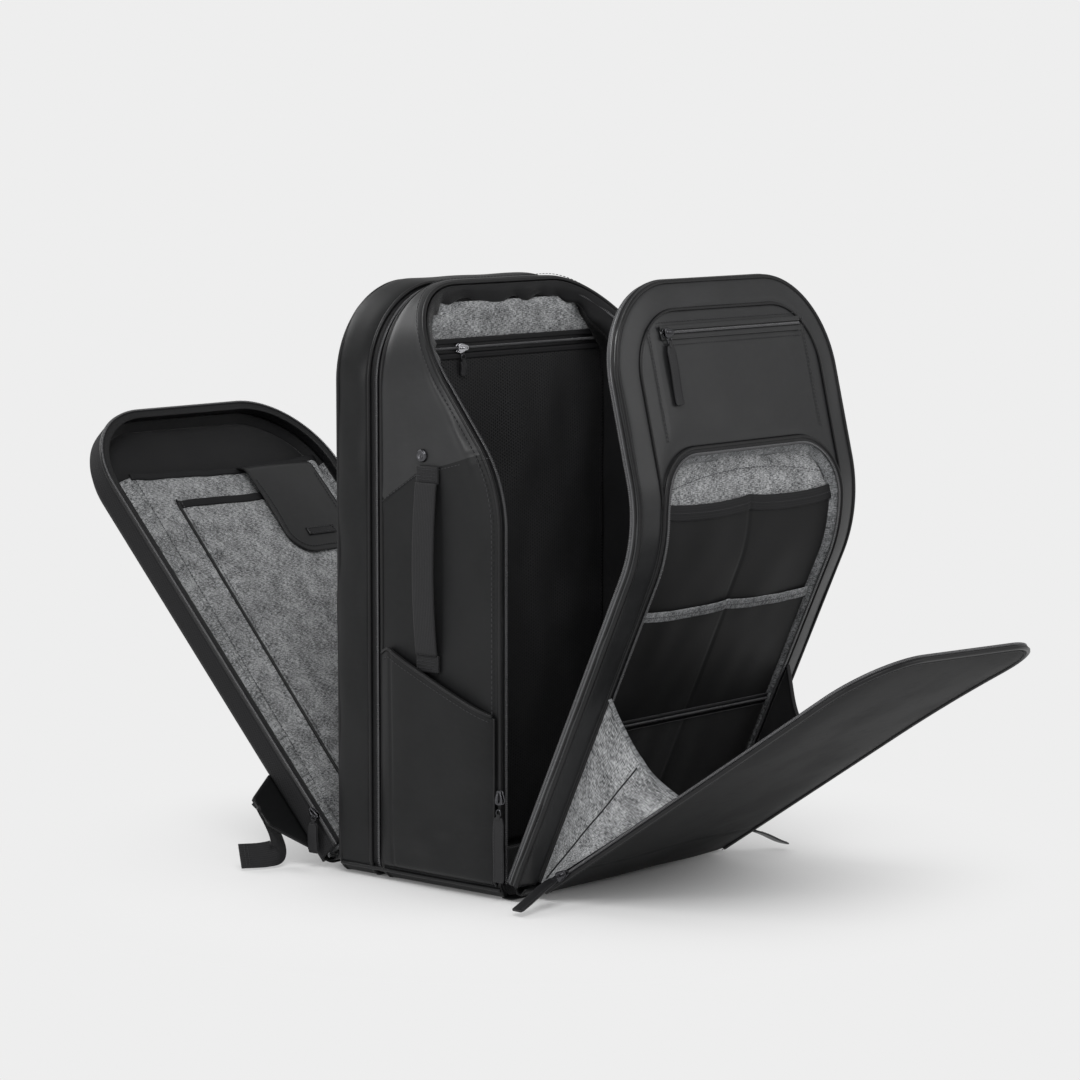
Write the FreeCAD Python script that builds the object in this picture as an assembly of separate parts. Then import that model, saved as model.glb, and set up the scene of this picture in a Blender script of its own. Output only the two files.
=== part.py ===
import FreeCAD, Part
import math
import os

V = FreeCAD.Vector

# ---- driving dimensions, mm -------------------------------------------------
HALF_WIDTH = 156.0
HEIGHT = 540.0
FRONT_Y = -100.0
REAR_Y = 98.0
CORNER_TOP = 88.0
CORNER_BASE = 18.0
WALL = 3.0

LID_HINGE_Z = 10.0
LOWER_LENGTH = 318.0
ARC_RADIUS = 125.0
ARC_ANGLE = math.radians(38.0)
ARC_LENGTH = ARC_RADIUS * ARC_ANGLE
UPPER_LENGTH = 171.4
PROFILE_LENGTH = LOWER_LENGTH + ARC_LENGTH + UPPER_LENGTH

LID_OPEN = 24.5
FLAP_OPEN = 31.9
BACK_OPEN = 43.0

GUSSET_Y0 = 44.0
GUSSET_Y1 = 58.0
GUSSET_RECESS = 3.0

FLAP_HALF = 130.0
FLAP_CORNER = 55.0
FLAP_FACE = 19.6
FLAP_THICK = 3.0
FLAP_FOOT = 22.0
FLAP_BEND_Z = LID_HINGE_Z + LOWER_LENGTH + (ARC_RADIUS + FLAP_FACE) * math.tan(ARC_ANGLE / 2)
FLAP_TOP_Z = FLAP_BEND_Z + 74.0

BACK_HINGE_Z = 24.0
BACK_FACE_Y = 100.6
TRAY_DEPTH = 26.0
PAD_THICK = 12.0
DIVIDER_ZIP_Z = 480.0           # height of the mesh pocket's zip on the divider
DIVIDER_SLIDER_X = -58.0        # where its slider stands

WEBBING_WIDTH = 25.0
SLIDER = (10.0, 20.0, 5.0)
PULL = (10.0, 62.0, 1.6)

LID_HINGE = V(0, FRONT_Y - 1.0, LID_HINGE_Z)
FLAP_HINGE = V(0, FRONT_Y - FLAP_FACE, LID_HINGE_Z + 8.0)
FLAP_BEND = V(0, FRONT_Y - FLAP_FACE + 0.3, FLAP_BEND_Z)
BACK_HINGE = V(0, BACK_FACE_Y, BACK_HINGE_Z)
X_AXIS = V(1, 0, 0)

NODES = {}


# ---- small builders ---------------------------------------------------------
def add(name, shape):
    NODES[name] = shape


def box(x0, x1, y0, y1, z0, z1):
    return Part.makeBox(x1 - x0, y1 - y0, z1 - z0, V(x0, y0, z0))


def soft_box(x0, x1, y0, y1, z0, z1, radius):
    solid = box(x0, x1, y0, y1, z0, z1)
    return solid.makeFillet(radius, solid.Edges)


def mirror(shape):
    return shape.mirror(V(0, 0, 0), X_AXIS)


def rounded_face(half, z0, z1, r_base, r_top, y):
    """Upright rounded rectangle in the plane at depth y."""
    k = math.sqrt(0.5)
    b, t = r_base, r_top
    pts = [V(-half + b, y, z0), V(half - b, y, z0), V(half - b + b * k, y, z0 + b - b * k),
           V(half, y, z0 + b), V(half, y, z1 - t), V(half - t + t * k, y, z1 - t + t * k),
           V(half - t, y, z1), V(-half + t, y, z1), V(-half + t - t * k, y, z1 - t + t * k),
           V(-half, y, z1 - t), V(-half, y, z0 + b), V(-half + b - b * k, y, z0 + b - b * k)]
    edges = [Part.makeLine(pts[0], pts[1]), Part.Arc(pts[1], pts[2], pts[3]).toShape(),
             Part.makeLine(pts[3], pts[4]), Part.Arc(pts[4], pts[5], pts[6]).toShape(),
             Part.makeLine(pts[6], pts[7]), Part.Arc(pts[7], pts[8], pts[9]).toShape(),
             Part.makeLine(pts[9], pts[10]), Part.Arc(pts[10], pts[11], pts[0]).toShape()]
    return Part.Face(Part.Wire(edges))


def outline(inset, y0, y1, z0=0.0):
    """Prism of the bag's front outline, pulled in by inset on every side."""
    face = rounded_face(HALF_WIDTH - inset, z0 + inset, HEIGHT - inset,
                        CORNER_BASE - min(inset, CORNER_BASE - 3.0), CORNER_TOP - inset, y0)
    return face.extrude(V(0, y1 - y0, 0))


def ring(inset, width, y0, y1, z0=0.0):
    return outline(inset, y0, y1, z0).cut(outline(inset + width, y0 - 1, y1 + 1, z0))


def flap_outline(inset, n0, n1):
    """Prism of the organiser's own outline between two offsets from the lid plane."""
    face = rounded_face(FLAP_HALF - inset, FLAP_FOOT + inset, FLAP_TOP_Z - inset,
                        8.0, FLAP_CORNER - inset, FRONT_Y - n1)
    return face.extrude(V(0, n1 - n0, 0))


def profile_point(s, n, x=0.0):
    """Point at arc length s up the opening's side profile, n in front of it."""
    if s <= LOWER_LENGTH:
        return V(x, FRONT_Y - n, LID_HINGE_Z + s)
    turn = min((s - LOWER_LENGTH) / ARC_RADIUS, ARC_ANGLE)
    rest = max(s - LOWER_LENGTH - ARC_LENGTH, 0.0)
    y = FRONT_Y + ARC_RADIUS - (ARC_RADIUS + n) * math.cos(turn) + rest * math.sin(turn)
    z = LID_HINGE_Z + LOWER_LENGTH + (ARC_RADIUS + n) * math.sin(turn) + rest * math.cos(turn)
    return V(x, y, z)


def profile_edges(s0, s1, n, x):
    arc_end = LOWER_LENGTH + ARC_LENGTH
    stops = [s0] + [b for b in (LOWER_LENGTH, arc_end) if s0 < b < s1] + [s1]
    edges = []
    for a, b in zip(stops, stops[1:]):
        p, q = profile_point(a, n, x), profile_point(b, n, x)
        if a >= LOWER_LENGTH - 1e-6 and b <= arc_end + 1e-6:
            edges.append(Part.Arc(p, profile_point((a + b) / 2, n, x), q).toShape())
        else:
            edges.append(Part.makeLine(p, q))
    return edges


def strip(s0, s1, n0, n1, x0=-HALF_WIDTH, x1=HALF_WIDTH):
    """Band that follows the side profile between two arc lengths and two offsets."""
    edges = profile_edges(s0, s1, n0, x0)
    edges.append(Part.makeLine(profile_point(s1, n0, x0), profile_point(s1, n1, x0)))
    edges += profile_edges(s0, s1, n1, x0)
    edges.append(Part.makeLine(profile_point(s0, n1, x0), profile_point(s0, n0, x0)))
    wire = Part.Wire(Part.__sortEdges__(edges))
    return Part.Face(wire).extrude(V(x1 - x0, 0, 0))


def slab(points, thickness):
    """Flat plate from a closed polygon, thickened along its own normal."""
    wire = Part.makePolygon(list(points) + [points[0]])
    normal = (points[1] - points[0]).cross(points[2] - points[0]).normalize()
    return Part.Face(wire).extrude(normal * thickness)


def arch(p, q, out, width_axis, width, thickness):
    """Bowed strap from p to q that rises by out at its middle."""
    mid = (p + q) * 0.5 + out
    lift = V(out).normalize() * thickness
    outer = Part.Arc(p + lift, mid + lift, q + lift).toShape()
    inner = Part.Arc(p, mid, q).toShape()
    wire = Part.Wire(Part.__sortEdges__([inner, outer, Part.makeLine(p, p + lift),
                                         Part.makeLine(q, q + lift)]))
    wire.translate(width_axis * (-width / 2))
    return Part.Face(wire).extrude(width_axis * width)


def swing(shape, centre, degrees):
    moved = shape.copy()
    moved.rotate(centre, X_AXIS, degrees)
    return moved


def on_lid(shape):
    return swing(shape, LID_HINGE, LID_OPEN)


def on_flap(shape):
    return on_lid(swing(shape, FLAP_HINGE, FLAP_OPEN))


def on_back(shape):
    return swing(shape, BACK_HINGE, -BACK_OPEN)


# ---- main body --------------------------------------------------------------
def behind_profile(n):
    """Everything behind the opening plane, back to the expansion gusset."""
    front = strip(-60, PROFILE_LENGTH + 60, n, n + 400, -200, 200)
    return box(-200, 200, FRONT_Y, GUSSET_Y0, -1, HEIGHT + 1).cut(front)


def body_shell():
    walls = ring(0, WALL, FRONT_Y, GUSSET_Y0).common(behind_profile(-3.0))
    side_low, side_high = CORNER_BASE, HEIGHT - CORNER_TOP
    side = box(-HALF_WIDTH, -HALF_WIDTH + WALL + 1, -200, 200, side_low, side_high)
    add("side_panel_left", walls.common(side))
    add("side_panel_right", walls.common(mirror(side)))
    add("top_panel", walls.common(box(-200, 200, -200, 200, side_high, HEIGHT + 1)))
    base = outline(0, FRONT_Y + 3, REAR_Y).common(box(-200, 200, -200, 200, 0, WALL))
    cove = ring(0, WALL, FRONT_Y + 3, GUSSET_Y0).common(box(-200, 200, -200, 200, 0, side_low))
    add("base_panel", base.fuse(cove).removeSplitter())
    add("expansion_gusset", ring(GUSSET_RECESS, WALL, GUSSET_Y0, GUSSET_Y1, WALL))
    add("expansion_zip", ring(0, GUSSET_RECESS, 53.0, 57.0, WALL))
    add("rear_frame", ring(0, WALL, GUSSET_Y1, REAR_Y, WALL))
    tape = strip(12, PROFILE_LENGTH, -3.0, 0.0).common(ring(0, 7.0, -200, 200, 0.0))
    add("main_zip_tape", tape.common(box(-200, 200, -200, 200, 22.0, HEIGHT)))


def interior():
    inner = outline(WALL, 38.0, 41.0, WALL + 1)
    add("divider_panel", inner)
    add("divider_mesh_pocket", box(-140, 140, 31.0, 33.0, 12, 440)
        .fuse([box(-140, -136, 33, 38, 12, 440), box(136, 140, 33, 38, 12, 440),
               box(-136, 136, 33, 38, 12, 16)]).removeSplitter())
    add("divider_zip", box(-122, 122, 35.5, 38.0, DIVIDER_ZIP_Z - 4, DIVIDER_ZIP_Z + 4))


def bottle_pocket():
    """Low side pouch with a slanted mouth."""
    x_in, x_out = -HALF_WIDTH, -HALF_WIDTH - 10.0
    mouth = [V(x_out, 42, 8), V(x_out, 42, 214), V(x_out, -92, 166), V(x_out, -92, 8)]
    wire = Part.makePolygon(mouth + [mouth[0]])
    solid = Part.Face(wire).extrude(V(x_in - x_out, 0, 0))
    solid = solid.makeFillet(5.0, [e for e in solid.Edges if e.BoundBox.XMax < x_out + 0.1
                                   and e.BoundBox.ZMin < 160])
    hollow = box(x_out + 2, x_in + 1, -89.5, 39.5, 11, 300)
    return solid.cut(hollow)


def side_fittings():
    pocket = bottle_pocket()
    add("bottle_pocket_left", pocket)
    add("bottle_pocket_right", mirror(pocket))
    x = -HALF_WIDTH
    anchor = box(x - 5, x, -30, -4, 368, 382)
    add("handle_anchors", Part.makeCompound([anchor, box(x - 5, x, -30, -4, 199, 213)]))
    add("snap_stud", Part.makeCylinder(6.0, 3.0, V(x - 3, -9, 391), V(1, 0, 0)))
    add("side_handle", arch(V(x - 3.2, -17, 367.5), V(x - 3.2, -17, 213.5), V(-18, 0, 0),
                            V(0, 1, 0), WEBBING_WIDTH, 2.4))


# ---- front lid --------------------------------------------------------------
def lid_outline(inset):
    return outline(inset, -260, 200)


def lid_ring(inset, width):
    return ring(inset, width, -260, 200)


def front_lid():
    add("lid_zip_tape", on_lid(strip(14, PROFILE_LENGTH, 0.6, 3.0).common(lid_ring(0, 7))))
    panel = strip(14, PROFILE_LENGTH, 3.0, 6.0).common(lid_outline(0))
    border = strip(14, PROFILE_LENGTH, 6.0, 15.0).common(lid_ring(3, 21))
    add("lid_panel", on_lid(panel.fuse(border).removeSplitter()))
    add("lid_top_pocket", on_lid(strip(434, 560, 6.0, 17.0).common(lid_outline(26))))
    add("top_pocket_zip", on_lid(strip(536, 544, 17.0, 18.4, -96, 100)))


def organizer():
    add("organizer_wall", on_lid(strip(12, 424, 6.0, 19.0, -FLAP_HALF, FLAP_HALF)
                                 .common(organizer_prism(0).cut(organizer_prism(2.5)))))
    row = organizer_prism(3.2)
    add("organizer_mesh_pocket", on_lid(strip(20, 376, 10.0, 11.5, -126, 126).common(row)))
    lower = strip(20, 280, 13.0, 14.5, -126, 126).common(row)
    zipper = strip(166, 174, 14.5, 16.0, -112, 112)
    add("organizer_lower_pocket", on_lid(lower.fuse(zipper).removeSplitter()))


def organizer_prism(inset):
    """Organiser outline seen from the front, on the bent lid."""
    top = profile_point(424, 12.0).z - inset
    face = rounded_face(FLAP_HALF - inset, FLAP_FOOT + inset, top, 8.0, FLAP_CORNER - inset, -260)
    return face.extrude(V(0, 400, 0))


def gusset():
    """Thin triangle that ties the lid's edge to the flap's edge."""
    reach = 186.0
    root = V(-129.5, FLAP_HINGE.y - 0.4, FLAP_HINGE.z + 8)
    lid_end = V(-129.5, root.y, root.z + reach)
    angle = math.radians(FLAP_OPEN - 1.0)
    flap_end = V(-129.5, root.y - reach * math.sin(angle), root.z + reach * math.cos(angle))
    plate = slab([root, flap_end, lid_end], 1.0)
    return plate


def flap():
    low = box(-200, 200, -400, 0, 0, FLAP_BEND_Z - 0.3)
    tip = box(-200, 200, -400, 0, FLAP_BEND_Z + 0.3, 600)
    shell = flap_outline(0, FLAP_FACE + 2.6, FLAP_FACE + 2.6 + FLAP_THICK)
    tape = flap_outline(0, FLAP_FACE, FLAP_FACE + 2.6)
    tape = tape.cut(flap_outline(7, FLAP_FACE - 1, FLAP_FACE + 3))
    add("flap_shell", on_flap(shell.common(low)))
    add("flap_zip_tape", on_flap(tape.common(low)))
    add("flap_tip_shell", on_flap(shell.common(tip)))
    add("flap_tip_tape", on_flap(tape.common(tip)))
    side = gusset()
    add("organizer_gusset_left", on_lid(side))
    add("organizer_gusset_right", on_lid(mirror(side)))


# ---- back lid ---------------------------------------------------------------
def back_lid():
    y0, z0 = BACK_FACE_Y, BACK_HINGE_Z
    y1 = y0 + TRAY_DEPTH
    add("back_zip_tape", on_back(ring(0, 7, y0, y0 + 2.4, z0)))
    add("back_tray_wall", on_back(ring(0, WALL, y0 + 2.4, y1, z0)))
    add("back_panel", on_back(outline(0, y1, y1 + 3.4, z0)))
    add("laptop_sleeve", on_back(box(-112, 144, y1 - 12.5, y1 - 10, 34, 470)
                                 .fuse([box(-112, -108, y1 - 10, y1, 34, 470),
                                        box(140, 144, y1 - 10, y1, 34, 470)]).removeSplitter()))
    add("tablet_sleeve", on_back(box(-80, 128, y1 - 17.5, y1 - 16, 38, 430)
                                 .fuse([box(-80, -77, y1 - 16, y1 - 12.5, 38, 430),
                                        box(125, 128, y1 - 16, y1 - 12.5, 38, 430)]).removeSplitter()))
    tongue = box(30, 122, y1 - 21.5, y1 - 18.5, 352, 468)
    corners = [e for e in tongue.Edges if abs(e.BoundBox.ZMax - 352) < 0.1 and e.BoundBox.YLength > 2]
    add("sleeve_flap", on_back(tongue.makeFillet(22.0, corners)))
    pad = soft_box(-110, -18, y1 + 3.4, y1 + 3.4 + PAD_THICK, 58, 470, 5.0)
    add("back_pad_left", on_back(pad))
    add("back_pad_right", on_back(mirror(pad)))
    back = y1 + 3.4 + PAD_THICK
    add("luggage_band", on_back(box(-110, 110, back, back + 2.0, 232, 330)))


def carry():
    y = BACK_FACE_Y + TRAY_DEPTH + 3.4
    strap = soft_box(-98, -40, y + 17.0, y + 29.0, 176, 470, 5.0)
    add("shoulder_strap_left", on_back(strap))
    add("shoulder_strap_right", on_back(mirror(strap)))
    add("strap_yoke", on_back(soft_box(-106, 106, y, y + 28, 472.5, 488, 4.0)))
    wing = slab([V(-150, y, 40), V(-190, y, 78), V(-190, y, 102), V(-150, y, 126)], 3.0)
    wing = wing if wing.BoundBox.YMin > y - 1 else wing.translated(V(0, 3.0, 0))
    a, b = V(-176, y + 2.0, 88), V(-66, y + 22.0, 160)
    side = (b - a).cross(V(0, 1, 0)).normalize() * (WEBBING_WIDTH / 2)
    web = slab([a - side, a + side, b + side, b - side], 1.8)
    add("lower_webbing_left", on_back(wing.fuse(web)))
    add("lower_webbing_right", on_back(mirror(wing.fuse(web))))
    handle = arch(V(-58, y + 4.0, 508), V(58, y + 4.0, 508), V(0, 22, 0), V(0, 0, 1), 22.0, 3.0)
    add("top_handle", on_back(handle))


def strap_tail():
    """Loose webbing end that hangs from the lower wing to the floor."""
    return box(-216, -191, 164, 165.8, 3, 50)


# ---- zip sliders and their pulls --------------------------------------------
def slider_side(x, y, z):
    """Slider on an upright zip at the bag's side; its pull hangs below it."""
    wide, tall, deep = SLIDER
    body = box(x - deep, x, y - wide / 2, y + wide / 2, z - tall / 2, z + tall / 2)
    body = body.makeFillet(1.5, body.Edges)
    return body


def pull_side(x, y, z, length):
    wide, tall, thick = PULL
    tab = box(x - thick, x, y - wide / 2, y + wide / 2, z - length, z)
    return tab.makeFillet(0.5, tab.Edges)


def sliders():
    x = -HALF_WIDTH - 0.8
    y, z = FRONT_Y - 0.3, 92.0
    for name, flip in (("left", False), ("right", True)):
        body, tab = slider_side(x, y, z), pull_side(x - 2.0, y, z - 12.0, PULL[1])
        add("main_slider_" + name, mirror(body) if flip else body)
        add("main_pull_" + name, mirror(tab) if flip else tab)
    x, y, z = -FLAP_HALF - 0.8, FRONT_Y - FLAP_FACE - 1.2, 52.0
    body = on_flap(slider_side(x, y, z))
    centre = body.BoundBox.Center
    tab = pull_side(-FLAP_HALF - 6.6, centre.y, centre.z, PULL[1])
    tab.rotate(V(-FLAP_HALF - 6.6, centre.y, centre.z), V(0, 1, 0), 68.0)
    for name, flip in (("left", False), ("right", True)):
        add("flap_slider_" + name, mirror(body) if flip else body)
        add("flap_pull_" + name, mirror(tab) if flip else tab)
    x, y, z = -HALF_WIDTH - 0.8, BACK_FACE_Y + 0.8, 62.0
    body = on_back(slider_side(x, y, z))
    centre = body.BoundBox.Center
    add("back_slider", body)
    add("back_pull", pull_side(x - 5.6, centre.y - 3.0, centre.z - 2.0, 34.0))


def small_zips():
    s, x = 540.0, -88.0
    body = strip(s - 5, s + 5, 18.7, 23.0, x - 8, x + 8)
    add("pocket_slider", on_lid(body))
    add("pocket_pull", on_lid(strip(s - 72, s - 5.8, 19.0, 20.6, x - 5, x + 5)))
    x, z = DIVIDER_SLIDER_X, DIVIDER_ZIP_Z
    add("divider_slider", box(x - 8, x + 8, 30.6, 35.1, z - 5, z + 5))
    add("divider_pull", box(x - 4, x + 4, 31.5, 33.0, z - 25.4, z - 5.6))


def build():
    body_shell()
    interior()
    side_fittings()
    front_lid()
    organizer()
    flap()
    back_lid()
    carry()
    tail = strap_tail()
    add("strap_tail_left", tail)
    add("strap_tail_right", mirror(tail))
    sliders()
    small_zips()


build()
os.makedirs("parts", exist_ok=True)
for node, shape in NODES.items():
    shape.exportStep("parts/" + node + ".step")
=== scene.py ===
import logging
import math
from dataclasses import dataclass, field
from enum import Enum
from typing import Callable, Optional, Sequence

import bmesh
import bpy
import numpy as np
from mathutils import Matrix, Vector


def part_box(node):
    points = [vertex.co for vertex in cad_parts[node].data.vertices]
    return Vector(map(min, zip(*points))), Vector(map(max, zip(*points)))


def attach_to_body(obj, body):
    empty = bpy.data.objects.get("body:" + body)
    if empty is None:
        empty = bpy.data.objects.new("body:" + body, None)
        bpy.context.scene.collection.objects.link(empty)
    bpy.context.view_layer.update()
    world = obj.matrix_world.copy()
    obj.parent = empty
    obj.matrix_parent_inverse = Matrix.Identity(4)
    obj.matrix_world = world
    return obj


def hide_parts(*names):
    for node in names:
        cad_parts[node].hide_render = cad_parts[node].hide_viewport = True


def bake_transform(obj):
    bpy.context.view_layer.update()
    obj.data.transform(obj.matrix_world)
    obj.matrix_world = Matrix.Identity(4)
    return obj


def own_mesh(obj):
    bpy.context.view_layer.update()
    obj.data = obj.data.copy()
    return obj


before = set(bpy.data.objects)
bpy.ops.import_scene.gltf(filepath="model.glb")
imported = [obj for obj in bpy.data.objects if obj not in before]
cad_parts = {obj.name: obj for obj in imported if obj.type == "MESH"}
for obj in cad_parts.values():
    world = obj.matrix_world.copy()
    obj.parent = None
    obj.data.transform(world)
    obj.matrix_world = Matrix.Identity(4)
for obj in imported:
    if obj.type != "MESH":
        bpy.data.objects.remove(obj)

Array = np.ndarray
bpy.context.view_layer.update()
METRE = 0.001
FRONT = np.array([0.0, -1.0, 0.0])
REAR = np.array([0.0, 1.0, 0.0])
LEFT = np.array([-1.0, 0.0, 0.0])
UP = np.array([0.0, 0.0, 1.0])
SIDES = ((-1.0, "Left"), (1.0, "Right"))
# Samples round a rim, enough that neither its corners nor its piping show a facet.
RIM_SAMPLES = 420
# Length, width and height of the coarse zips' sliders.
ZIP_SLIDER = (13.0, 8.6, 4.4)
log = logging.getLogger("travel_backpack")


# ---------------------------------------------------------------- placing --
@dataclass(frozen=True)
class Turn:
    """A turn about a line along X, which opens one lid from its closed place.

    Args:
        y: depth of the hinge line, in millimetres.
        z: height of the hinge line, in millimetres.
        degrees: angle, positive leaning the top towards the front.
    """

    y: float
    z: float
    degrees: float

    def apply(self, points: Array) -> Array:
        """Turn points: y' and z' are the usual rotation of the offsets from the hinge."""
        a = math.radians(self.degrees)
        out = np.array(points, float)
        dy, dz = points[..., 1] - self.y, points[..., 2] - self.z
        out[..., 1] = self.y + dy * math.cos(a) - dz * math.sin(a)
        out[..., 2] = self.z + dy * math.sin(a) + dz * math.cos(a)
        return out


LID_TURN = Turn(-101.0, 10.0, 24.5)
FLAP_TURN = Turn(-119.6, 18.0, 31.9)
BACK_TURN = Turn(100.6, 24.0, -43.0)


class Seat(Enum):
    """Where a piece sits at rest: the turns that carry it from its closed place."""

    BODY = ()
    LID = (LID_TURN,)
    FLAP = (FLAP_TURN, LID_TURN)
    BACK = (BACK_TURN,)

    def place(self, points: Array) -> Array:
        """Carry closed-place points to the rest pose.

        Args:
            points: array of points, in millimetres.

        Returns:
            The same points at rest, in millimetres.
        """
        out = np.array(points, float)
        for turn in self.value:
            out = turn.apply(out)
        return out


@dataclass(frozen=True)
class SideProfile:
    """The opening's side line: upright, then an arc, then leaning back to the top."""

    front: float = -100.0
    foot: float = 10.0
    upright: float = 318.0
    radius: float = 125.0
    lean: float = math.radians(38.0)
    top: float = 572.3

    def at(self, x: Array, s: Array, n: Array) -> Array:
        """Points at arc length s up the line and n in front of it.

        The turn angle is (s - upright) / radius, held between 0 and lean; past it the
        line runs straight. Each point is moved out along the local normal by n.

        Args:
            x: sideways places.
            s: arc lengths from the hinge.
            n: offsets to the front.

        Returns:
            Array of closed-place points with a last axis of three.
        """
        x, s, n = np.broadcast_arrays(np.asarray(x, float), s, n)
        turn = np.clip((s - self.upright) / self.radius, 0.0, self.lean)
        rest = np.maximum(s - self.upright - self.radius * self.lean, 0.0)
        low = np.minimum(s, self.upright)
        y = self.front + self.radius - (self.radius + n) * np.cos(turn) + rest * np.sin(turn)
        z = self.foot + low + (self.radius + n) * np.sin(turn) + rest * np.cos(turn)
        return np.stack([x, y, z], -1)

    def depth(self, z: Array) -> Array:
        """Depth y of the line at height z."""
        s = np.linspace(-20.0, self.top + 10.0, 800)
        line = self.at(0.0, s, 0.0)
        return np.interp(z, line[:, 2], line[:, 1])

    def arc(self, z: Array) -> Array:
        """Arc length of the line at height z."""
        s = np.linspace(-20.0, self.top + 30.0, 800)
        return np.interp(z, self.at(0.0, s, 0.0)[:, 2], s)


PROFILE = SideProfile()


@dataclass(frozen=True)
class Loop:
    """Points round an outline in the upright plane, with their outward normals."""

    x: Array
    z: Array
    nx: Array
    nz: Array

    @property
    def out(self) -> Array:
        """The outward normals as vectors."""
        return np.stack([self.nx, 0 * self.nx, self.nz], -1)


def outline(half: float, z0: float, z1: float, r_base: float, r_top: float, count: int,
            foot: Optional[float] = None) -> Loop:
    """Sample a rounded outline evenly by its length.

    The line is four straight sides and four quarter circles. It starts where the upper
    left corner begins, goes over the top, down the right and back along the base. With
    foot given, the base is left open and the line starts and ends at that height.

    Args:
        half: half width.
        z0: height of the base line.
        z1: height of the top line.
        r_base: radius of the lower corners.
        r_top: radius of the upper corners.
        count: number of samples.
        foot: height of both ends of an open outline.

    Returns:
        The sampled loop.
    """
    q = np.linspace(0.0, math.pi / 2, 40)
    corners = [(-half + r_top, z1 - r_top, r_top, math.pi - q),
               (half - r_top, z1 - r_top, r_top, math.pi / 2 - q)]
    if foot is None:
        corners += [(half - r_base, z0 + r_base, r_base, -q),
                    (-half + r_base, z0 + r_base, r_base, -math.pi / 2 - q)]
    x = np.concatenate([cx + r * np.cos(a) for cx, _, r, a in corners])
    z = np.concatenate([cz + r * np.sin(a) for _, cz, r, a in corners])
    angle = np.concatenate([a for *_, a in corners])
    if foot is None:
        x, z, angle = np.append(x, x[0]), np.append(z, z[0]), np.append(angle, -math.pi)
    else:
        x, z = np.concatenate([[-half], x, [half]]), np.concatenate([[foot], z, [foot]])
        angle = np.concatenate([[math.pi], angle, [0.0]])
    run = np.concatenate([[0.0], np.cumsum(np.hypot(np.diff(x), np.diff(z)))])
    even = np.linspace(0.0, run[-1], count, endpoint=foot is not None)
    a = np.interp(even, run, angle)
    return Loop(np.interp(even, run, x), np.interp(even, run, z), np.cos(a), np.sin(a))


def ripple(points: Array, length: float, seed: int, waves: int = 7) -> Array:
    """Smooth creases: the mean of sines along seeded directions, between -1 and 1.

    Args:
        points: array of points, in millimetres.
        length: typical distance between creases, in millimetres.
        seed: seed of the directions and phases.
        waves: number of sines.

    Returns:
        Array of heights with the points' shape less the last axis.
    """
    rng = np.random.default_rng(seed)
    way = rng.normal(size=(waves, 3))
    way /= np.linalg.norm(way, axis=1, keepdims=True)
    pitch = 2 * math.pi / (length * rng.uniform(0.6, 1.6, waves))
    phase = rng.uniform(0, 2 * math.pi, waves)
    return np.sin(np.tensordot(points, (way * pitch[:, None]).T, 1) + phase).sum(-1) / waves * 1.6


def groove(distance: Array, width: float = 1.6, depth: float = 1.0) -> Array:
    """Dip of a sewn seam: depth times a bell of the distance over width, downwards."""
    return -depth * np.exp(-(distance / width) ** 2)


def crown(w: Array, power: float = 4.0) -> Array:
    """Height of a filled panel across its width: 1 - |2w - 1| ** power."""
    return 1.0 - np.abs(2.0 * w - 1.0) ** power


def unit(v: Array) -> Array:
    """Vectors scaled to length one."""
    return v / np.maximum(np.linalg.norm(v, axis=-1, keepdims=True), 1e-9)


def tangents(path: Array, closed: bool = False) -> Array:
    """Directions along a path, from the difference of each point's neighbours."""
    if closed:
        return unit(np.roll(path, -1, 0) - np.roll(path, 1, 0))
    return unit(np.gradient(path, axis=0))


def resample(path: Array, step: float) -> Array:
    """Path points spaced evenly, about step apart."""
    run = path_lengths(path)
    even = np.linspace(0.0, run[-1], max(int(run[-1] / step), 2) + 1)
    return np.stack([np.interp(even, run, path[:, i]) for i in range(3)], -1)


def smooth_path(points: Sequence[Sequence[float]], count: int = 40) -> Array:
    """Smooth line through a few points: Catmull-Rom cubics, sampled evenly.

    Args:
        points: the points, in millimetres.
        count: samples per span.

    Returns:
        Array of points.
    """
    p = np.array(points, float)
    p = np.vstack([2 * p[0] - p[1], p, 2 * p[-1] - p[-2]])
    t = np.linspace(0, 1, count, endpoint=False)[None, :, None]
    a, b, c, d = (p[i:len(p) - 3 + i][:, None, :] for i in range(4))
    line = 0.5 * (2 * b + (c - a) * t + (2 * a - 5 * b + 4 * c - d) * t ** 2
                  + (3 * b - a - 3 * c + d) * t ** 3)
    return np.vstack([line.reshape(-1, 3), p[-2]])


# ----------------------------------------------------------------- meshes --
class Finish:
    """A named procedural material; subclasses in the finishes part fill it in."""

    slot: str

    def material(self) -> bpy.types.Material:
        """The Blender material of this finish."""
        raise NotImplementedError


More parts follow.
